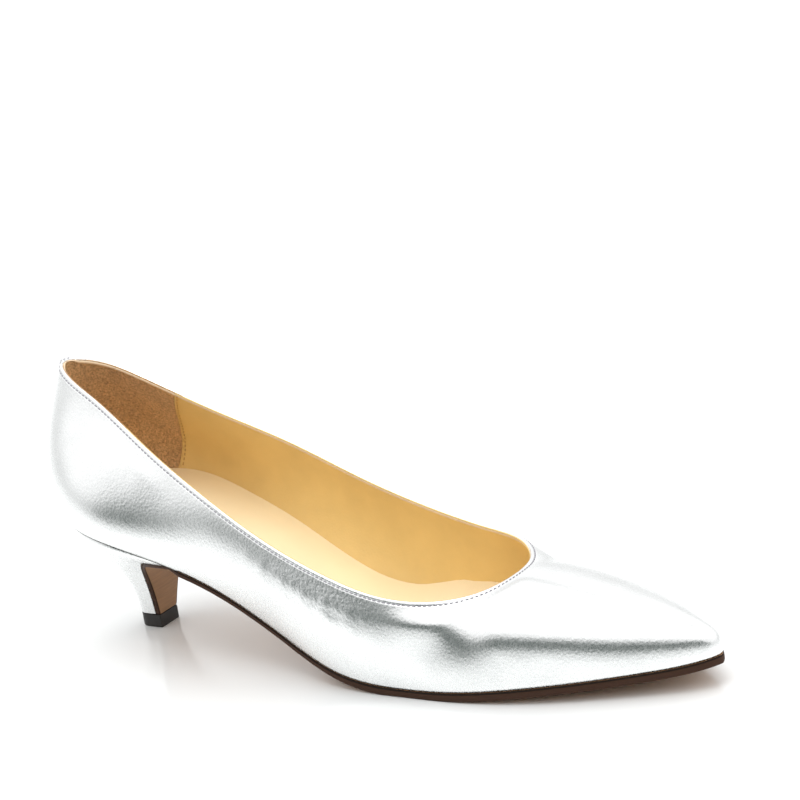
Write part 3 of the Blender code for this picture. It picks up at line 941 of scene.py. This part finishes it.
class PumpStudio(bpy.types.PropertyGroup):
    key_power: FloatProperty(
        name="Overhead light", description="Power of the light above the shoe",
        default=10.5, unit="POWER",
    )
    sky: FloatProperty(
        name="Sky", description="Brightness of the studio's ceiling", default=1.15, min=0
    )
    dark_band: FloatProperty(
        name="Dark band", description="Brightness of the dark low band", default=0.09, min=0
    )
    grey_band: FloatProperty(
        name="Grey band", description="Brightness of the low band on the other sides",
        default=0.72, min=0,
    )
    band_turn: FloatProperty(
        name="Band turn", description="Direction of the dark band's middle",
        default=np.radians(-78.0), unit="ROTATION"
    )


def settings():
    return bpy.context.scene.pump_colours, bpy.context.scene.pump_sizes, bpy.context.scene.pump_studio


class PUMP_OT_outer_leather(bpy.types.Operator):
    """Silver leather of the upper, tucked under at the feather edge"""

    bl_idname = "pump.outer_leather"
    bl_label = "Outer leather"

    def execute(self, context):
        colours, _, _ = settings()
        mesh = skin.mesh.copy()
        mesh.name = "outer_leather"
        sunk = sink_near_edge(*SINK_UNDER_STRIP) + sink_near_edge(*SINK_UNDER_FOLD)
        move_corners(mesh, skin.points - skin.normals * sunk[:, None])
        piece = place("outer_leather", mesh, [silver_leather(colours)], ("upper",), "upper")
        thicken(piece, SKIN_THICKNESS, -1.0)
        return {"FINISHED"}


class PUMP_OT_folded_edge(bpy.types.Operator):
    """Silver leather folded over at the topline, with the groove of its stitches"""

    bl_idname = "pump.folded_edge"
    bl_label = "Folded edge"

    def execute(self, context):
        profile = list(STRIP_FACE)
        for angle in np.radians(np.linspace(12, 180, 9)):
            across = FOLD_RADIUS * (np.cos(angle) - 1) + FOLD_LIFT
            profile.append((FOLD_RADIUS * (1 - np.sin(angle)), across))
        profile += FOLD_INSIDE
        mesh = ring_mesh("folded_edge", swept_ring(profile))

        # Below the stitches the strip is shaded as the skin is, so that no line shows where they meet
        corners = corners_of(mesh)
        spots, normals = skin.nearest(corners)
        outer = np.einsum("ij,ij->i", corners - spots, normals) > -0.2
        same = outer & (edge_distance(corners) > STRIP_FROM)
        mesh.normals_split_custom_set_from_vertices((normals * same[:, None]).tolist())
        place("folded_edge", mesh, [bpy.data.materials[SILVER_NAME]], (), "upper")
        return {"FINISHED"}


def stitch_mesh(name, centres, along, up, length, radius):
    """One mesh of small rounded stitches."""
    ring, caps = 8, 7
    turn = np.linspace(0, 2 * np.pi, ring, endpoint=False)[:, None]
    reach = np.linspace(-1, 1, caps)
    girth = np.sqrt(np.clip(1 - np.abs(reach) ** 3, 0.02, 1))
    shape = quads(0, caps, ring, closed=True)
    shape += [tuple(range(ring)), tuple(range((caps - 1) * ring, caps * ring))]
    points, faces = [], []
    for centre, forward, above in zip(centres, along, up):
        start = len(points) * ring
        faces += [tuple(start + corner for corner in face) for face in shape]
        circle = np.cos(turn) * np.cross(forward, above) + np.sin(turn) * above
        for share, wide in zip(reach, girth):
            points.append(centre + forward * share * length / 2 + circle * radius * wide)
    return make_mesh(name, np.concatenate(points), faces)


def stitch_places(length, sizes):
    """Middles of evenly spaced stitches along a line."""
    count = int(length[-1] / (sizes.stitch_pitch / MM))
    return (np.arange(count) + 0.5) * length[-1] / count


def square_to(vectors_up, forward):
    """Turns each direction until it stands square to the line."""
    return unit(vectors_up - forward * np.einsum("ij,ij->i", vectors_up, forward)[:, None])


def stitches_along(name, line, above, sizes, radius, sink, material):
    """A row of stitches on an open line of points, with the direction off the leather at each."""
    length = run_length(line)
    places = stitch_places(length, sizes)
    centres = read_along(places, length, line)
    forward = unit(np.gradient(centres, axis=0))
    off = square_to(unit(read_along(places, length, above)), forward)
    centres = centres + off * (radius - sink)
    mesh = stitch_mesh(name, centres, forward, off, sizes.stitch_length / MM, radius)
    return place(name, mesh, [material], (), "upper")


class PUMP_OT_topline_stitches(bpy.types.Operator):
    """Row of stitches in the groove below the folded edge"""

    bl_idname = "pump.topline_stitches"
    bl_label = "Topline stitches"

    def execute(self, context):
        colours, sizes, _ = settings()
        spots, out = skin.nearest(edge_points + edge_down * STITCH_LINE)
        spots = smooth_loop(spots, 4) + out * (-GROOVE_DEPTH + STITCH_RADIUS - STITCH_SINK)
        closed, ups = np.concatenate([spots, spots[:1]]), np.concatenate([out, out[:1]])
        length = run_length(closed)
        places = stitch_places(length, sizes)
        centres = read_along(places, length, closed)
        forward = unit(np.roll(centres, -1, 0) - np.roll(centres, 1, 0))
        above = square_to(unit(read_along(places, length, ups)), forward)
        stitch = (sizes.stitch_length / MM, STITCH_RADIUS)
        mesh = stitch_mesh("topline_stitches", centres, forward, above, *stitch)
        # Darker than the tab's thread: painted shade of the stitch groove laid over the thread's own
        # grey
        pale = thread("pale_grey_thread", tuple(colours.thread))
        place("topline_stitches", mesh, [pale], (), "upper")
        return {"FINISHED"}


class PUMP_OT_back_tab(bpy.types.Operator):
    """Small rounded leather tab over the top of the back seam, wrapped towards the inner side"""

    bl_idname = "pump.back_tab"
    bl_label = "Back tab"

    def execute(self, context):
        colours, sizes, _ = settings()
        step = np.linalg.norm(np.diff(edge_points, axis=0), axis=1).mean()
        middle = (TAB_INNER_REACH - TAB_OUTER_REACH) / 2
        half = (TAB_INNER_REACH + TAB_OUTER_REACH) / 2
        across = np.sin(np.linspace(-np.pi / 2, np.pi / 2, 33))
        fold = np.radians(TAB_FOLD)
        downs = np.concatenate([0 * fold, np.linspace(FOLD_RADIUS, TAB_LENGTH, 27)])

        def edge_at(reach, values):
            """Values at a distance round the topline, with the inner side counted positive."""
            turns = np.arange(-60, 61)
            return read_along(-reach / step, turns, values[turns % EDGE_STATIONS])

        def width_at(down):
            corner = np.clip(down - (TAB_LENGTH - TAB_CORNER), 0, TAB_CORNER)
            return half + np.sqrt(np.maximum(TAB_CORNER**2 - corner**2, 0.0)) - TAB_CORNER

        top, under = [], []
        for index, down in enumerate(downs):
            reach = middle + across * width_at(down)
            points = edge_at(reach, edge_points)
            out, along = unit(edge_at(reach, edge_out)), unit(edge_at(reach, edge_down))
            rim = half * (1 - np.abs(across)) * ease(TAB_LENGTH - down, -0.5, 0.5)
            rounding = np.clip(np.minimum(rim, TAB_LENGTH - down) / 0.45, 0, 1)
            height = TAB_HEIGHT * np.minimum(1, np.sqrt(rounding))[:, None]
            if index < len(fold):
                turn, radius = fold[index], FOLD_RADIUS + height
                axis = points + along * FOLD_RADIUS + out * (FOLD_LIFT - FOLD_RADIUS)
                top.append(axis - along * np.sin(turn) * radius + out * np.cos(turn) * radius)
            else:
                spots, normals = skin.nearest(points + along * down)
                top.append(spots + normals * (height + TAB_CLEAR))
            under.append(top[-1] - out * TAB_ROOT)
        top, under = np.array(top), np.array(under)
        folded = top[: len(fold)]
        under[: len(fold)] = folded + (under[len(fold)] - folded) * 0.35

        count, columns = top.shape[:2]
        points = np.concatenate([top.reshape(-1, 3), under.reshape(-1, 3)])
        faces = quads(0, count, columns) + quads(count * columns, count, columns, turn=True)
        loop = list(range(columns))
        loop += [row * columns + columns - 1 for row in range(1, count)]
        loop += [(count - 1) * columns + column for column in range(columns - 2, -1, -1)]
        loop += [row * columns for row in range(count - 2, 0, -1)]
        for here, following in zip(loop, loop[1:] + loop[:1]):
            faces.append((here, following, following + count * columns, here + count * columns))
        mesh = make_mesh("back_tab", points, faces)
        place("back_tab", mesh, [bpy.data.materials[SILVER_NAME]], (), "upper", 60)

        # Stitches: down one side of the tab, round its lower corners and up the other side
        inner, corner = half - TAB_STITCH_INSET, TAB_CORNER - TAB_STITCH_INSET
        bend = TAB_LENGTH - TAB_CORNER
        path = [(-inner, down) for down in np.linspace(1.6, bend, 14)]
        for turn in np.linspace(0, np.pi / 2, 12)[1:]:
            path.append((-inner + corner * (1 - np.cos(turn)), bend + corner * np.sin(turn)))
        path = np.array(path + [(-reach, down) for reach, down in path[::-1]])
        reach = middle + path[:, 0]
        line = edge_at(reach, edge_points) + edge_at(reach, edge_down) * path[:, 1:]
        spots, normals = skin.nearest(line)
        line = spots + normals * (TAB_HEIGHT + TAB_CLEAR)
        white = thread("white_thread", tuple(colours.tab_thread))
        stitches_along("tab_stitches", line, normals, sizes, STITCH_RADIUS, 0.1, white)
        return {"FINISHED"}


def sink_near_edge(depth, start, end):
    """How far each point of the skin sinks where the strip along the topline covers it."""
    return depth * ease(-skin_edge_distance, -start, -end)


def offset_skin(name, depth, sink_from, sink_depth):
    """A copy of the skin, moved inwards, and sunk into the wall where the edge strip covers it."""
    mesh = skin.mesh.copy()
    mesh.name = name
    inward = depth - sink_near_edge(sink_depth, sink_from, sink_from / 2)
    move_corners(mesh, skin.points - skin.normals * inward[:, None])
    return mesh


def grip_edge_x(z):
    """Where the lining meets the heel grip, at a height."""
    share = (z - GRIP_EDGE_Z) / GRIP_EDGE_REACH
    bow = GRIP_EDGE_BOW * np.clip(1 - share**2, 0, 1)
    return GRIP_EDGE_X + GRIP_EDGE_LEAN * (z - GRIP_EDGE_Z) - bow


def cut_at_grip(mesh, ahead, keep_front):
    """Cuts a layer along the heel grip's edge, or a distance ahead of it, and keeps one part."""

    def shear(sign):
        """Moves the curved edge onto a plane, or back."""
        points = corners_of(mesh)
        points[:, 0] += sign * (grip_edge_x(points[:, 2]) + ahead)
        move_corners(mesh, points)

    shear(-1)
    work = bmesh.new()
    work.from_mesh(mesh)
    bmesh.ops.bisect_plane(
        work,
        geom=work.verts[:] + work.edges[:] + work.faces[:],
        plane_co=in_frame((0.0, 0.0, 0.0)),
        plane_no=(1.0, 0.0, 0.0),
        clear_inner=keep_front,
        clear_outer=not keep_front,
    )
    work.to_mesh(mesh)
    work.free()
    mesh.shade_smooth()
    shear(1)


def thicken(piece, thickness_mm, offset=1.0):
    """Gives a layer its thickness: towards its front with offset 1, towards its back with -1."""
    modifier = piece.modifiers.new("thickness", "SOLIDIFY")
    modifier.thickness = thickness_mm * MM
    modifier.offset = offset


class PUMP_OT_lining(bpy.types.Operator):
    """Tan lining of the quarters and vamp, with its trimmed edge at the topline"""

    bl_idname = "pump.lining"
    bl_label = "Lining"

    def execute(self, context):
        colours, _, _ = settings()
        material = lining_leather("tan_lining_leather", tuple(colours.lining))
        mesh = offset_skin("lining", LINING_FACE, 1.1, 0.3)
        cut_at_grip(mesh, 0.0, True)
        piece = place("lining", mesh, [material], (), "upper")
        thicken(piece, LINING_THICKNESS)
        cut_edge = lining_leather("lining_cut_edge", tuple(colours.cut_edge))
        edge = ring_mesh("lining_edge", swept_ring(LINING_EDGE))
        place("lining_edge", edge, [cut_edge], (), "upper")
        return {"FINISHED"}


def lining_face():
    """The lining's inner face, to be met by rays."""
    walls = offset_skin("walls", LINING_FACE, 1.0, 0.0)
    tree = BVHTree.FromPolygons(vectors(corners_of(walls)), skin.faces)
    bpy.data.meshes.remove(walls)
    return tree


class PUMP_OT_heel_grip(bpy.types.Operator):
    """Suede heel grip inside the back, under the lining's front edge, with its row of stitches"""

    bl_idname = "pump.heel_grip"
    bl_label = "Heel grip"

    def execute(self, context):
        colours, sizes, _ = settings()
        mesh = offset_skin("heel_grip", GRIP_FACE, 1.0, 0.2)
        cut_at_grip(mesh, GRIP_OVERLAP, False)
        piece = place("heel_grip", mesh, [suede(colours)], (), "upper")
        thicken(piece, GRIP_THICKNESS)

        tree = lining_face()
        gold = thread("golden_thread", tuple(colours.lining_thread))
        heights = np.linspace(GRIP_STITCH_LOW, GRIP_STITCH_HIGH, 60)
        for side, label in ((-1, "outer"), (1, "inner")):
            line, above = [], []
            for height in heights:
                x = float(grip_edge_x(height)) + GRIP_STITCH_OFFSET
                spot, normal, _, _ = tree.ray_cast(Vector((x, 0.0, height)), Vector((0.0, side, 0.0)))
                if spot is not None and float(edge_distance([spot])[0]) > GRIP_STITCH_OFFSET:
                    line.append(np.array(spot))
                    lean = 0.3 * np.array(normal) * -np.sign(normal[1] * side)
                    above.append(np.array((0.0, -side, 0.0)) + lean)
            line, above = np.array(line), np.array(above)
            stitches_along(f"grip_stitches_{label}", line, above, sizes, 0.2, 0.06, gold)
        return {"FINISHED"}


class PUMP_OT_insole_sock(bpy.types.Operator):
    """Cream sock leather on the insole, reaching the lining all round"""

    bl_idname = "pump.insole_sock"
    bl_label = "Insole sock"

    def execute(self, context):
        colours, _, _ = settings()
        tree = lining_face()
        top = INSOLE_THICKNESS

        def reach(origin, direction):
            spot = tree.ray_cast(Vector(origin), Vector(direction))[0]
            return None if spot is None else np.array(spot)

        back = reach((20.0, 0.0, float(seat_z(5.0)[0]) + top), (-1, 0, 0))[0]
        toe_level = float(seat_z(243.0)[0]) + top
        toe = reach((225.0, 0.0, toe_level), (1, 0, 0))[0]
        stations = back + (toe - back) * (1 - np.cos(np.linspace(0.02, np.pi - 0.02, 120))) / 2
        across = np.linspace(-1, 1, 25)
        upper_rows, lower_rows = [], []
        for x in stations:
            level = float(seat_z(x)[0]) + top
            left = reach((x, 0.0, level), (0, -1, 0))
            right = reach((x, 0.0, level), (0, 1, 0))
            low, high = left[1] - SOCK_TUCK, right[1] + SOCK_TUCK
            flat_y = (low + high) / 2 + across * (high - low) / 2
            rise = float(np.interp(x, *zip(*SOCK_RIM)))
            high = reach((x, 0.0, level + rise), (0, 1, 0))[1] + SOCK_TUCK
            y = (low + high) / 2 + across * (high - low) / 2
            rim = np.minimum(y - low, high - y)
            curl = SOCK_CURL * (1 - ease(rim, 0.0, SOCK_CURL_WIDTH))
            dish = SOCK_DISH * ease(-x, -75.0, -35.0) * (1 - ease(np.abs(across), 0.2, 0.95))
            z = level + curl - dish + rise * ease(across, 0.6, 1.05)
            upper_rows.append(np.stack([0 * y + x, y, z], 1))
            lower_rows.append(np.stack([0 * y + x, flat_y, 0 * y + level - SOCK_DEPTH], 1))
        grid = np.array(upper_rows + lower_rows[::-1])
        rows, columns = grid.shape[:2]
        faces = quads(0, rows, columns)
        for row in range(len(stations) - 1):
            twin = rows - 1 - row
            for column in (0, columns - 1):
                rim_rows = (row, row + 1, twin - 1, twin)
                faces.append(tuple(rim_row * columns + column for rim_row in rim_rows))
        last = (rows - 1) * columns
        for column in range(columns - 1):
            faces.append((column, column + 1, last + column + 1, last + column))
        mesh = make_mesh("insole_sock", grid.reshape(-1, 3), faces)
        place("insole_sock", mesh, [sock_leather(colours)], ("insole",), "insole", 60)
        return {"FINISHED"}


def level_ring(inset, start_x, count):
    """Two lines of points along the feather edge, pushed in or out, from start_x to the toe."""
    lines = {}
    for side in (-1, 1):
        first = feather.length_at(side, start_x)
        last = feather.sides[side][1][-1]
        share = np.linspace(0, 1, count)
        length = first + (last - first) * (1 - (1 - share) ** TOE_CROWDING)
        line = feather.at(side, length) - feather.outward(side, length) * inset
        line[-1, 1] = 0.0
        lines[side] = line
    return lines


def heel_slices(rows_per_step):
    """The heel's table, read at even steps along a smooth curve through its rows."""
    rows = dict(zip(HEEL_COLUMNS, np.array(HEEL).T))
    index = np.arange(len(HEEL))
    steps = np.linspace(0, len(HEEL) - 1, (len(HEEL) - 1) * rows_per_step + 1)
    return {name: natural_spline(index, rows[name])(steps)[:, 0] for name in HEEL_COLUMNS}


WIDEST_SEAT = {
    side: max(
        feather.half_width(side, place) for place in np.linspace(FEATHER[0][0], BREAST_LINE, 60)
    )
    for side in (-1, 1)
}


def seat_share_at(share, side):
    """Half width of the seat at a share of its length, as a share of its widest."""
    x = FEATHER[0][0] + share * (BREAST_LINE - FEATHER[0][0])
    return feather.half_width(side, x) / WIDEST_SEAT[side]


class PUMP_OT_outsole(bpy.types.Operator):
    """Leather outsole with a dark edge, running down the front of the heel as a flap"""

    bl_idname = "pump.outsole"
    bl_label = "Outsole"

    def execute(self, context):
        colours, sizes, _ = settings()
        slices = heel_slices(sizes.heel_slices)
        path = np.stack([slices["front_x"], slices["front_z"]], 1)
        half = slices["half"] * (1 - slices["seat_share"] * (1 - seat_share_at(1.0, 1)))
        along = unit(np.stack([np.gradient(path[:, 0]), np.gradient(path[:, 1])], 1))
        away = np.stack([along[:, 1], -along[:, 0]], 1)
        flap_top = path + away * GAP
        flap_low = flap_top + away * FLAP_THICKNESS
        flap_top[0, 1] = flap_low[0, 1] = TOP_PIECE_THICKNESS + GAP
        keep = path[:, 0] < BREAST_LINE - FLAP_STOP
        tops, lows, widths = flap_top[keep], flap_low[keep], half[keep]
        lines = level_ring(-SOLE_OVERHANG, BREAST_LINE + SOLE_START, 130)

        # Each ring: across the top, down one edge, back across the underside, up the other edge
        edge = list(zip(SOLE_EDGE_SHARES, SOLE_EDGE_OUT))
        across = np.linspace(-1, 1, 9)[1:-1]
        rings = []
        for station in range(len(tops) + len(lines[1])):
            if station < len(tops):
                left = np.array([tops[station, 0], -widths[station], tops[station, 1]])
                right = left * (1, -1, 1)
                down = np.insert(lows[station] - tops[station], 1, 0.0)
                sides = {-1: np.array([0.0, -1.0, 0.0]), 1: np.array([0.0, 1.0, 0.0])}
                width = 2 * widths[station]
            else:
                spot = station - len(tops)
                left, right = lines[-1][spot].copy(), lines[1][spot].copy()
                left[2] = float(seat_z(left[0])[0]) - GAP
                right[2] = float(seat_z(right[0])[0]) - GAP
                down = None
                width = np.linalg.norm(right - left)
                sides = {-1: unit(left - right) if width > 0.01 else np.zeros(3)}
                sides[1] = -sides[-1]

            def lowered(point, share):
                if down is not None:
                    return point + down * share
                bottom = max(point[2] - float(sole_thickness(point[0])), 0.0)
                return point * (1, 1, 0) + np.array([0, 0, point[2] + (bottom - point[2]) * share])

            trim = min(1.0, width / 4)
            ring = [left + (right - left) * (share + 1) / 2 for share in across]
            ring += [lowered(right, share) + sides[1] * out * trim for share, out in edge]
            ring += [lowered(left + (right - left) * (share + 1) / 2, 1.0) for share in across[::-1]]
            ring += [lowered(left, share) + sides[-1] * out * trim for share, out in edge[::-1]]
            rings.append(ring)
        grid = np.array(rings)
        rows, columns = grid.shape[:2]
        faces = quads(0, rows, columns, closed=True)
        first, count = len(across), len(edge)
        on_edge = {*range(first, first + count - 1), *range(columns - count, columns - 1)}
        # The top two faces of each edge take a much darker finish: painted shadow of the upper along
        # the top of the sole edge
        on_shade_line = {first, first + 1, columns - 3, columns - 2}
        kinds = []
        for row in range(rows - 1):
            below = FLAP if row < len(tops) - 1 else UNDERSIDE
            for column in range(columns):
                edge_kind = EDGE_SHADE_LINE if column in on_shade_line else EDGE
                kinds.append(edge_kind if column in on_edge else below)
        for end in (0, rows - 1):
            faces.append(tuple(end * columns + column for column in range(columns)))
            kinds.append(EDGE)
        mesh = make_mesh("outsole_leather", grid.reshape(-1, 3), faces, kinds)
        materials = [
            sole_leather("sole_edge", tuple(colours.sole_edge), 0.6, 0.15),
            sole_leather("sole_underside", tuple(colours.sole), 0.55),
            sole_leather("sole_flap", scaled(tuple(colours.sole), 1.05), 0.5),
            # The edge colour at a quarter of its brightness: painted shade, for the line along the top
            # of the edge
            sole_leather("sole_edge_line", scaled(tuple(colours.sole_edge), 0.25), 0.6, 0.15),
        ]
        place("outsole_leather", mesh, materials, ("outsole",), "outsole", 50)
        return {"FINISHED"}


class PUMP_OT_heel_cover(bpy.types.Operator):
    """Kitten heel wrapped in the silver leather"""

    bl_idname = "pump.heel_cover"
    bl_label = "Heel cover"

    def execute(self, context):
        colours, sizes, _ = settings()
        slices = heel_slices(sizes.heel_slices)
        turn = np.linspace(0, np.pi / 2, sizes.heel_ring)
        shares = 1 - np.sin(turn)
        rounded = np.sqrt(1 - np.clip(1 - shares / 0.5, 0, 1) ** 2)
        rings = []
        for step in range(len(slices["half"])):
            part = {name: values[step] for name, values in slices.items()}
            loop = []
            for side in (-1, 1):
                seat = seat_share_at(shares, side)
                blend = rounded + (seat - rounded) * part["seat_share"]
                x = part["back_x"] + shares * (part["front_x"] - part["back_x"])
                z = part["back_z"] + shares * (part["front_z"] - part["back_z"])
                line = np.stack([x, side * part["half"] * blend, z], 1)
                loop.append(line if side < 0 else line[-2::-1])
            rings.append(np.concatenate(loop))
        seat = rings[-1].copy()
        seat[:, 2] = seat_z(seat[:, 0]) - GAP - HEEL_RIM
        rings.append(seat)
        middle = np.array([[(FEATHER[0][0] + BREAST_LINE) / 2, 0.0, 0.0]])
        inward = unit((middle - seat) * (1, 1, 0))
        rings.append(seat + inward * HEEL_RIM + (0.0, 0.0, HEEL_RIM))
        grid = np.array(rings)
        levels, count = grid.shape[:2]
        faces = quads(0, levels, count, closed=True)
        for level in (0, levels - 1):
            base = level * count
            for spot in range(sizes.heel_ring - 1):
                twin = base + count - 1 - spot
                faces.append((base + spot, base + spot + 1, twin - 1, twin))
        mesh = make_mesh("heel_cover", grid.reshape(-1, 3), faces)
        place("heel_cover", mesh, [bpy.data.materials[SILVER_NAME]], ("heel",), "heel", 50)
        return {"FINISHED"}


class PUMP_OT_seat_shadow_line(bpy.types.Operator):
    """Dark ribbon of painted shadow in the gap between the upper and the heel cover, a little back
    from their edges
    """

    bl_idname = "pump.seat_line"
    bl_label = "Seat line"

    def execute(self, context):
        lines, outwards = {}, {}
        for side in (-1, 1):
            end = float(feather.length_at(side, BREAST_LINE - SEAT_LINE_STOP))
            length = np.linspace(0.0, end, SEAT_LINE_POINTS)
            outwards[side] = feather.outward(side, length)
            lines[side] = feather.at(side, length) - outwards[side] * SEAT_LINE_INSET
        path = np.concatenate([lines[-1][::-1], lines[1][1:]])
        outward = np.concatenate([outwards[-1][::-1], outwards[1][1:]])
        path[:, 2] = seat_z(path[:, 0]) - GAP / 2
        corners = ((0.0, 1), (0.0, -1), (SEAT_LINE_DEPTH, -1), (SEAT_LINE_DEPTH, 1))
        grid = np.array([
            path - outward * away + (0.0, 0.0, level * SEAT_LINE_HALF) for away, level in corners
        ])
        rows, count = grid.shape[:2]
        faces = wrapped(quads(0, rows + 1, count), rows * count)
        faces += [tuple(row * count + end for row in range(rows)) for end in (0, count - 1)]
        mesh = make_mesh("seat_shadow_line", grid.reshape(-1, 3), faces)
        # The ribbon takes the sole edge's painted-shade finish, so the gap reads as a dark shadow line
        place("seat_shadow_line", mesh, [bpy.data.materials["sole_edge_line"]], (), "heel", 30)
        return {"FINISHED"}


class PUMP_OT_top_piece(bpy.types.Operator):
    """Rubber finish of the top piece"""

    bl_idname = "pump.top_piece"
    bl_label = "Top piece"

    def execute(self, context):
        colours, _, _ = settings()
        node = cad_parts["top_piece"]
        material = rubber(colours)
        if not node.material_slots:
            node.data.materials.append(material)
        for slot in node.material_slots:
            slot.link = "OBJECT"
            slot.material = material
        return {"FINISHED"}


def camera_axes():
    """Camera right, down and forward in the frame's directions."""
    turn, rise, roll = np.radians([CAMERA_TURN, CAMERA_RISE, CAMERA_ROLL])
    about_up = np.array([[np.cos(turn), np.sin(turn), 0], [-np.sin(turn), np.cos(turn), 0], [0, 0, 1]])
    look = np.array([[1, 0, 0], [0, -np.sin(rise), -np.cos(rise)], [0, np.cos(rise), -np.sin(rise)]])
    tilt = np.array([[np.cos(roll), -np.sin(roll), 0], [np.sin(roll), np.cos(roll), 0], [0, 0, 1]])
    return tilt @ look @ about_up


def add_object(name, data):
    piece = bpy.data.objects.new(name, data)
    bpy.context.scene.collection.objects.link(piece)
    return piece


def add_camera():
    """The photograph's camera: it sees the aim point at the aim pixel, at the fitted scale."""
    axes = camera_axes()
    aside, below = [(PICTURE_SIZE / 2 - pixel) / PIXELS_PER_MM for pixel in AIM_PIXEL]
    shift = np.array([aside, below, -FOCAL_PIXELS / PIXELS_PER_MM])
    data = bpy.data.cameras.new("camera")
    data.sensor_width = SENSOR
    data.lens = FOCAL_PIXELS * SENSOR / PICTURE_SIZE
    data.clip_start = 0.01
    camera = add_object("camera", data)
    basis = np.eye(4)
    basis[:3, :3] = np.array([axes[0], -axes[1], -axes[2]]).T
    basis[:3, 3] = in_frame(np.array(AIM_POINT) + axes.T @ shift)
    camera.matrix_world = Matrix(basis.tolist())
    bpy.context.scene.camera = camera


def add_floor(colours):
    mesh = bpy.data.meshes.new("studio_floor")
    work = bmesh.new()
    bmesh.ops.create_grid(work, x_segments=2, y_segments=2, size=FLOOR_SIZE)
    work.to_mesh(mesh)
    work.free()
    shader = Shader("studio_floor", tuple(colours.floor), 0.16, Specular_IOR_Level=0.5)
    mesh.materials.append(shader.material)
    floor = add_object("studio_floor", mesh)


def add_light(power):
    light = bpy.data.lights.new("overhead", "AREA")
    light.shape = "RECTANGLE"
    light.size, light.size_y = LIGHT_SIZE
    light.energy = power
    lamp = add_object("overhead", light)
    lamp.location = LIGHT_PLACE
    towards = Vector(LIGHT_AIM) - Vector(LIGHT_PLACE)
    lamp.rotation_euler = towards.to_track_quat("-Z", "Y").to_euler()


def add_world(studio):
    """White above and grey low down, with a dark low band on the camera's side."""
    world = bpy.data.worlds.new("studio")
    bpy.context.scene.world = world
    world.use_nodes = True
    tree = Nodes(world.node_tree)
    join, curve = tree.joined, "SMOOTHSTEP"
    direction = tree.add("TexCoord", {}).outputs["Generated"]
    height = tree.add("SeparateXYZ", {"Vector": direction}).outputs["Z"]
    middle = (np.cos(studio.band_turn), np.sin(studio.band_turn), 0.0)
    facing = tree.vector("DOT_PRODUCT", direction, middle, "Value")
    level_share = join("SQRT", join("SUBTRACT", 1.0, join("MULTIPLY", height, height)), 0.0)
    turned = join("DIVIDE", facing, level_share)
    front = tree.ranged(turned, *BAND_SIDES, curve=curve)
    darker = join("MULTIPLY", front, studio.dark_band - studio.grey_band)
    low_level = join("ADD", studio.grey_band, darker)
    lift = tree.ranged(turned, *BAND_LIFT_SIDES, 0.0, BAND_LIFT, curve)
    rise = tree.ranged(join("SUBTRACT", height, lift), *BAND_HEIGHTS, curve=curve)
    level = join("ADD", low_level, join("MULTIPLY", rise, join("SUBTRACT", 1.0, low_level)))
    missing = join("SUBTRACT", 1.0, level)
    channels = [join("ADD", level, join("MULTIPLY", missing, share)) for share in BAND_TINT]
    tint = tree.add("CombineColor", dict(zip(("Red", "Green", "Blue"), channels)))
    band = tree.nodes["Background"]
    tree.links.new(tint.outputs["Color"], band.inputs["Color"])
    band.inputs["Strength"].default_value = studio.sky

    # The camera itself sees plain white
    plain = tree.add("Background", {"Color": (1.0, 1.0, 1.0, 1.0)})
    seen = tree.add("LightPath", {}).outputs["Is Camera Ray"]
    mix = tree.add("MixShader", {0: seen, 1: band.outputs[0], 2: plain.outputs[0]})
    tree.links.new(mix.outputs["Shader"], tree.nodes["World Output"].inputs["Surface"])


class PUMP_OT_studio(bpy.types.Operator):
    """Camera, pale floor, soft overhead light and a darker band at the walls' height"""

    bl_idname = "pump.studio"
    bl_label = "Studio"

    def execute(self, context):
        colours, _, studio = settings()
        context.scene.view_settings.view_transform = "Standard"
        add_camera()
        add_floor(colours)
        add_world(studio)
        add_light(studio.key_power)
        return {"FINISHED"}


class PUMP_PT_sidebar(bpy.types.Panel):
    """Colours, sizes and the pieces of the pump"""

    bl_label = "Kitten heel pump"
    bl_idname = "PUMP_PT_sidebar"
    bl_space_type = "VIEW_3D"
    bl_region_type = "UI"
    bl_category = "Pump"

    def draw(self, context):
        layout = self.layout
        for group in (context.scene.pump_colours, context.scene.pump_sizes, context.scene.pump_studio):
            box = layout.box()
            for name in group.bl_rna.properties.keys():
                if name not in ("rna_type", "name"):
                    box.prop(group, name)
        for operator in OPERATORS:
            layout.operator(operator.bl_idname)


OPERATORS = (
    PUMP_OT_outer_leather,
    PUMP_OT_folded_edge,
    PUMP_OT_topline_stitches,
    PUMP_OT_back_tab,
    PUMP_OT_lining,
    PUMP_OT_heel_grip,
    PUMP_OT_insole_sock,
    PUMP_OT_outsole,
    PUMP_OT_heel_cover,
    PUMP_OT_seat_shadow_line,
    PUMP_OT_top_piece,
    PUMP_OT_studio,
)
CLASSES = (PumpColours, PumpSizes, PumpStudio, *OPERATORS, PUMP_PT_sidebar)


def register():
    for item in CLASSES:
        bpy.utils.register_class(item)
    bpy.types.Scene.pump_colours = PointerProperty(type=PumpColours)
    bpy.types.Scene.pump_sizes = PointerProperty(type=PumpSizes)
    bpy.types.Scene.pump_studio = PointerProperty(type=PumpStudio)


def unregister():
    for name in ("pump_colours", "pump_sizes", "pump_studio"):
        delattr(bpy.types.Scene, name)
    for item in reversed(CLASSES):
        bpy.utils.unregister_class(item)


def main():
    register()
    for operator in OPERATORS:
        group, action = operator.bl_idname.split(".")
        getattr(getattr(bpy.ops, group), action)()


if __name__ == "__main__":
    main()
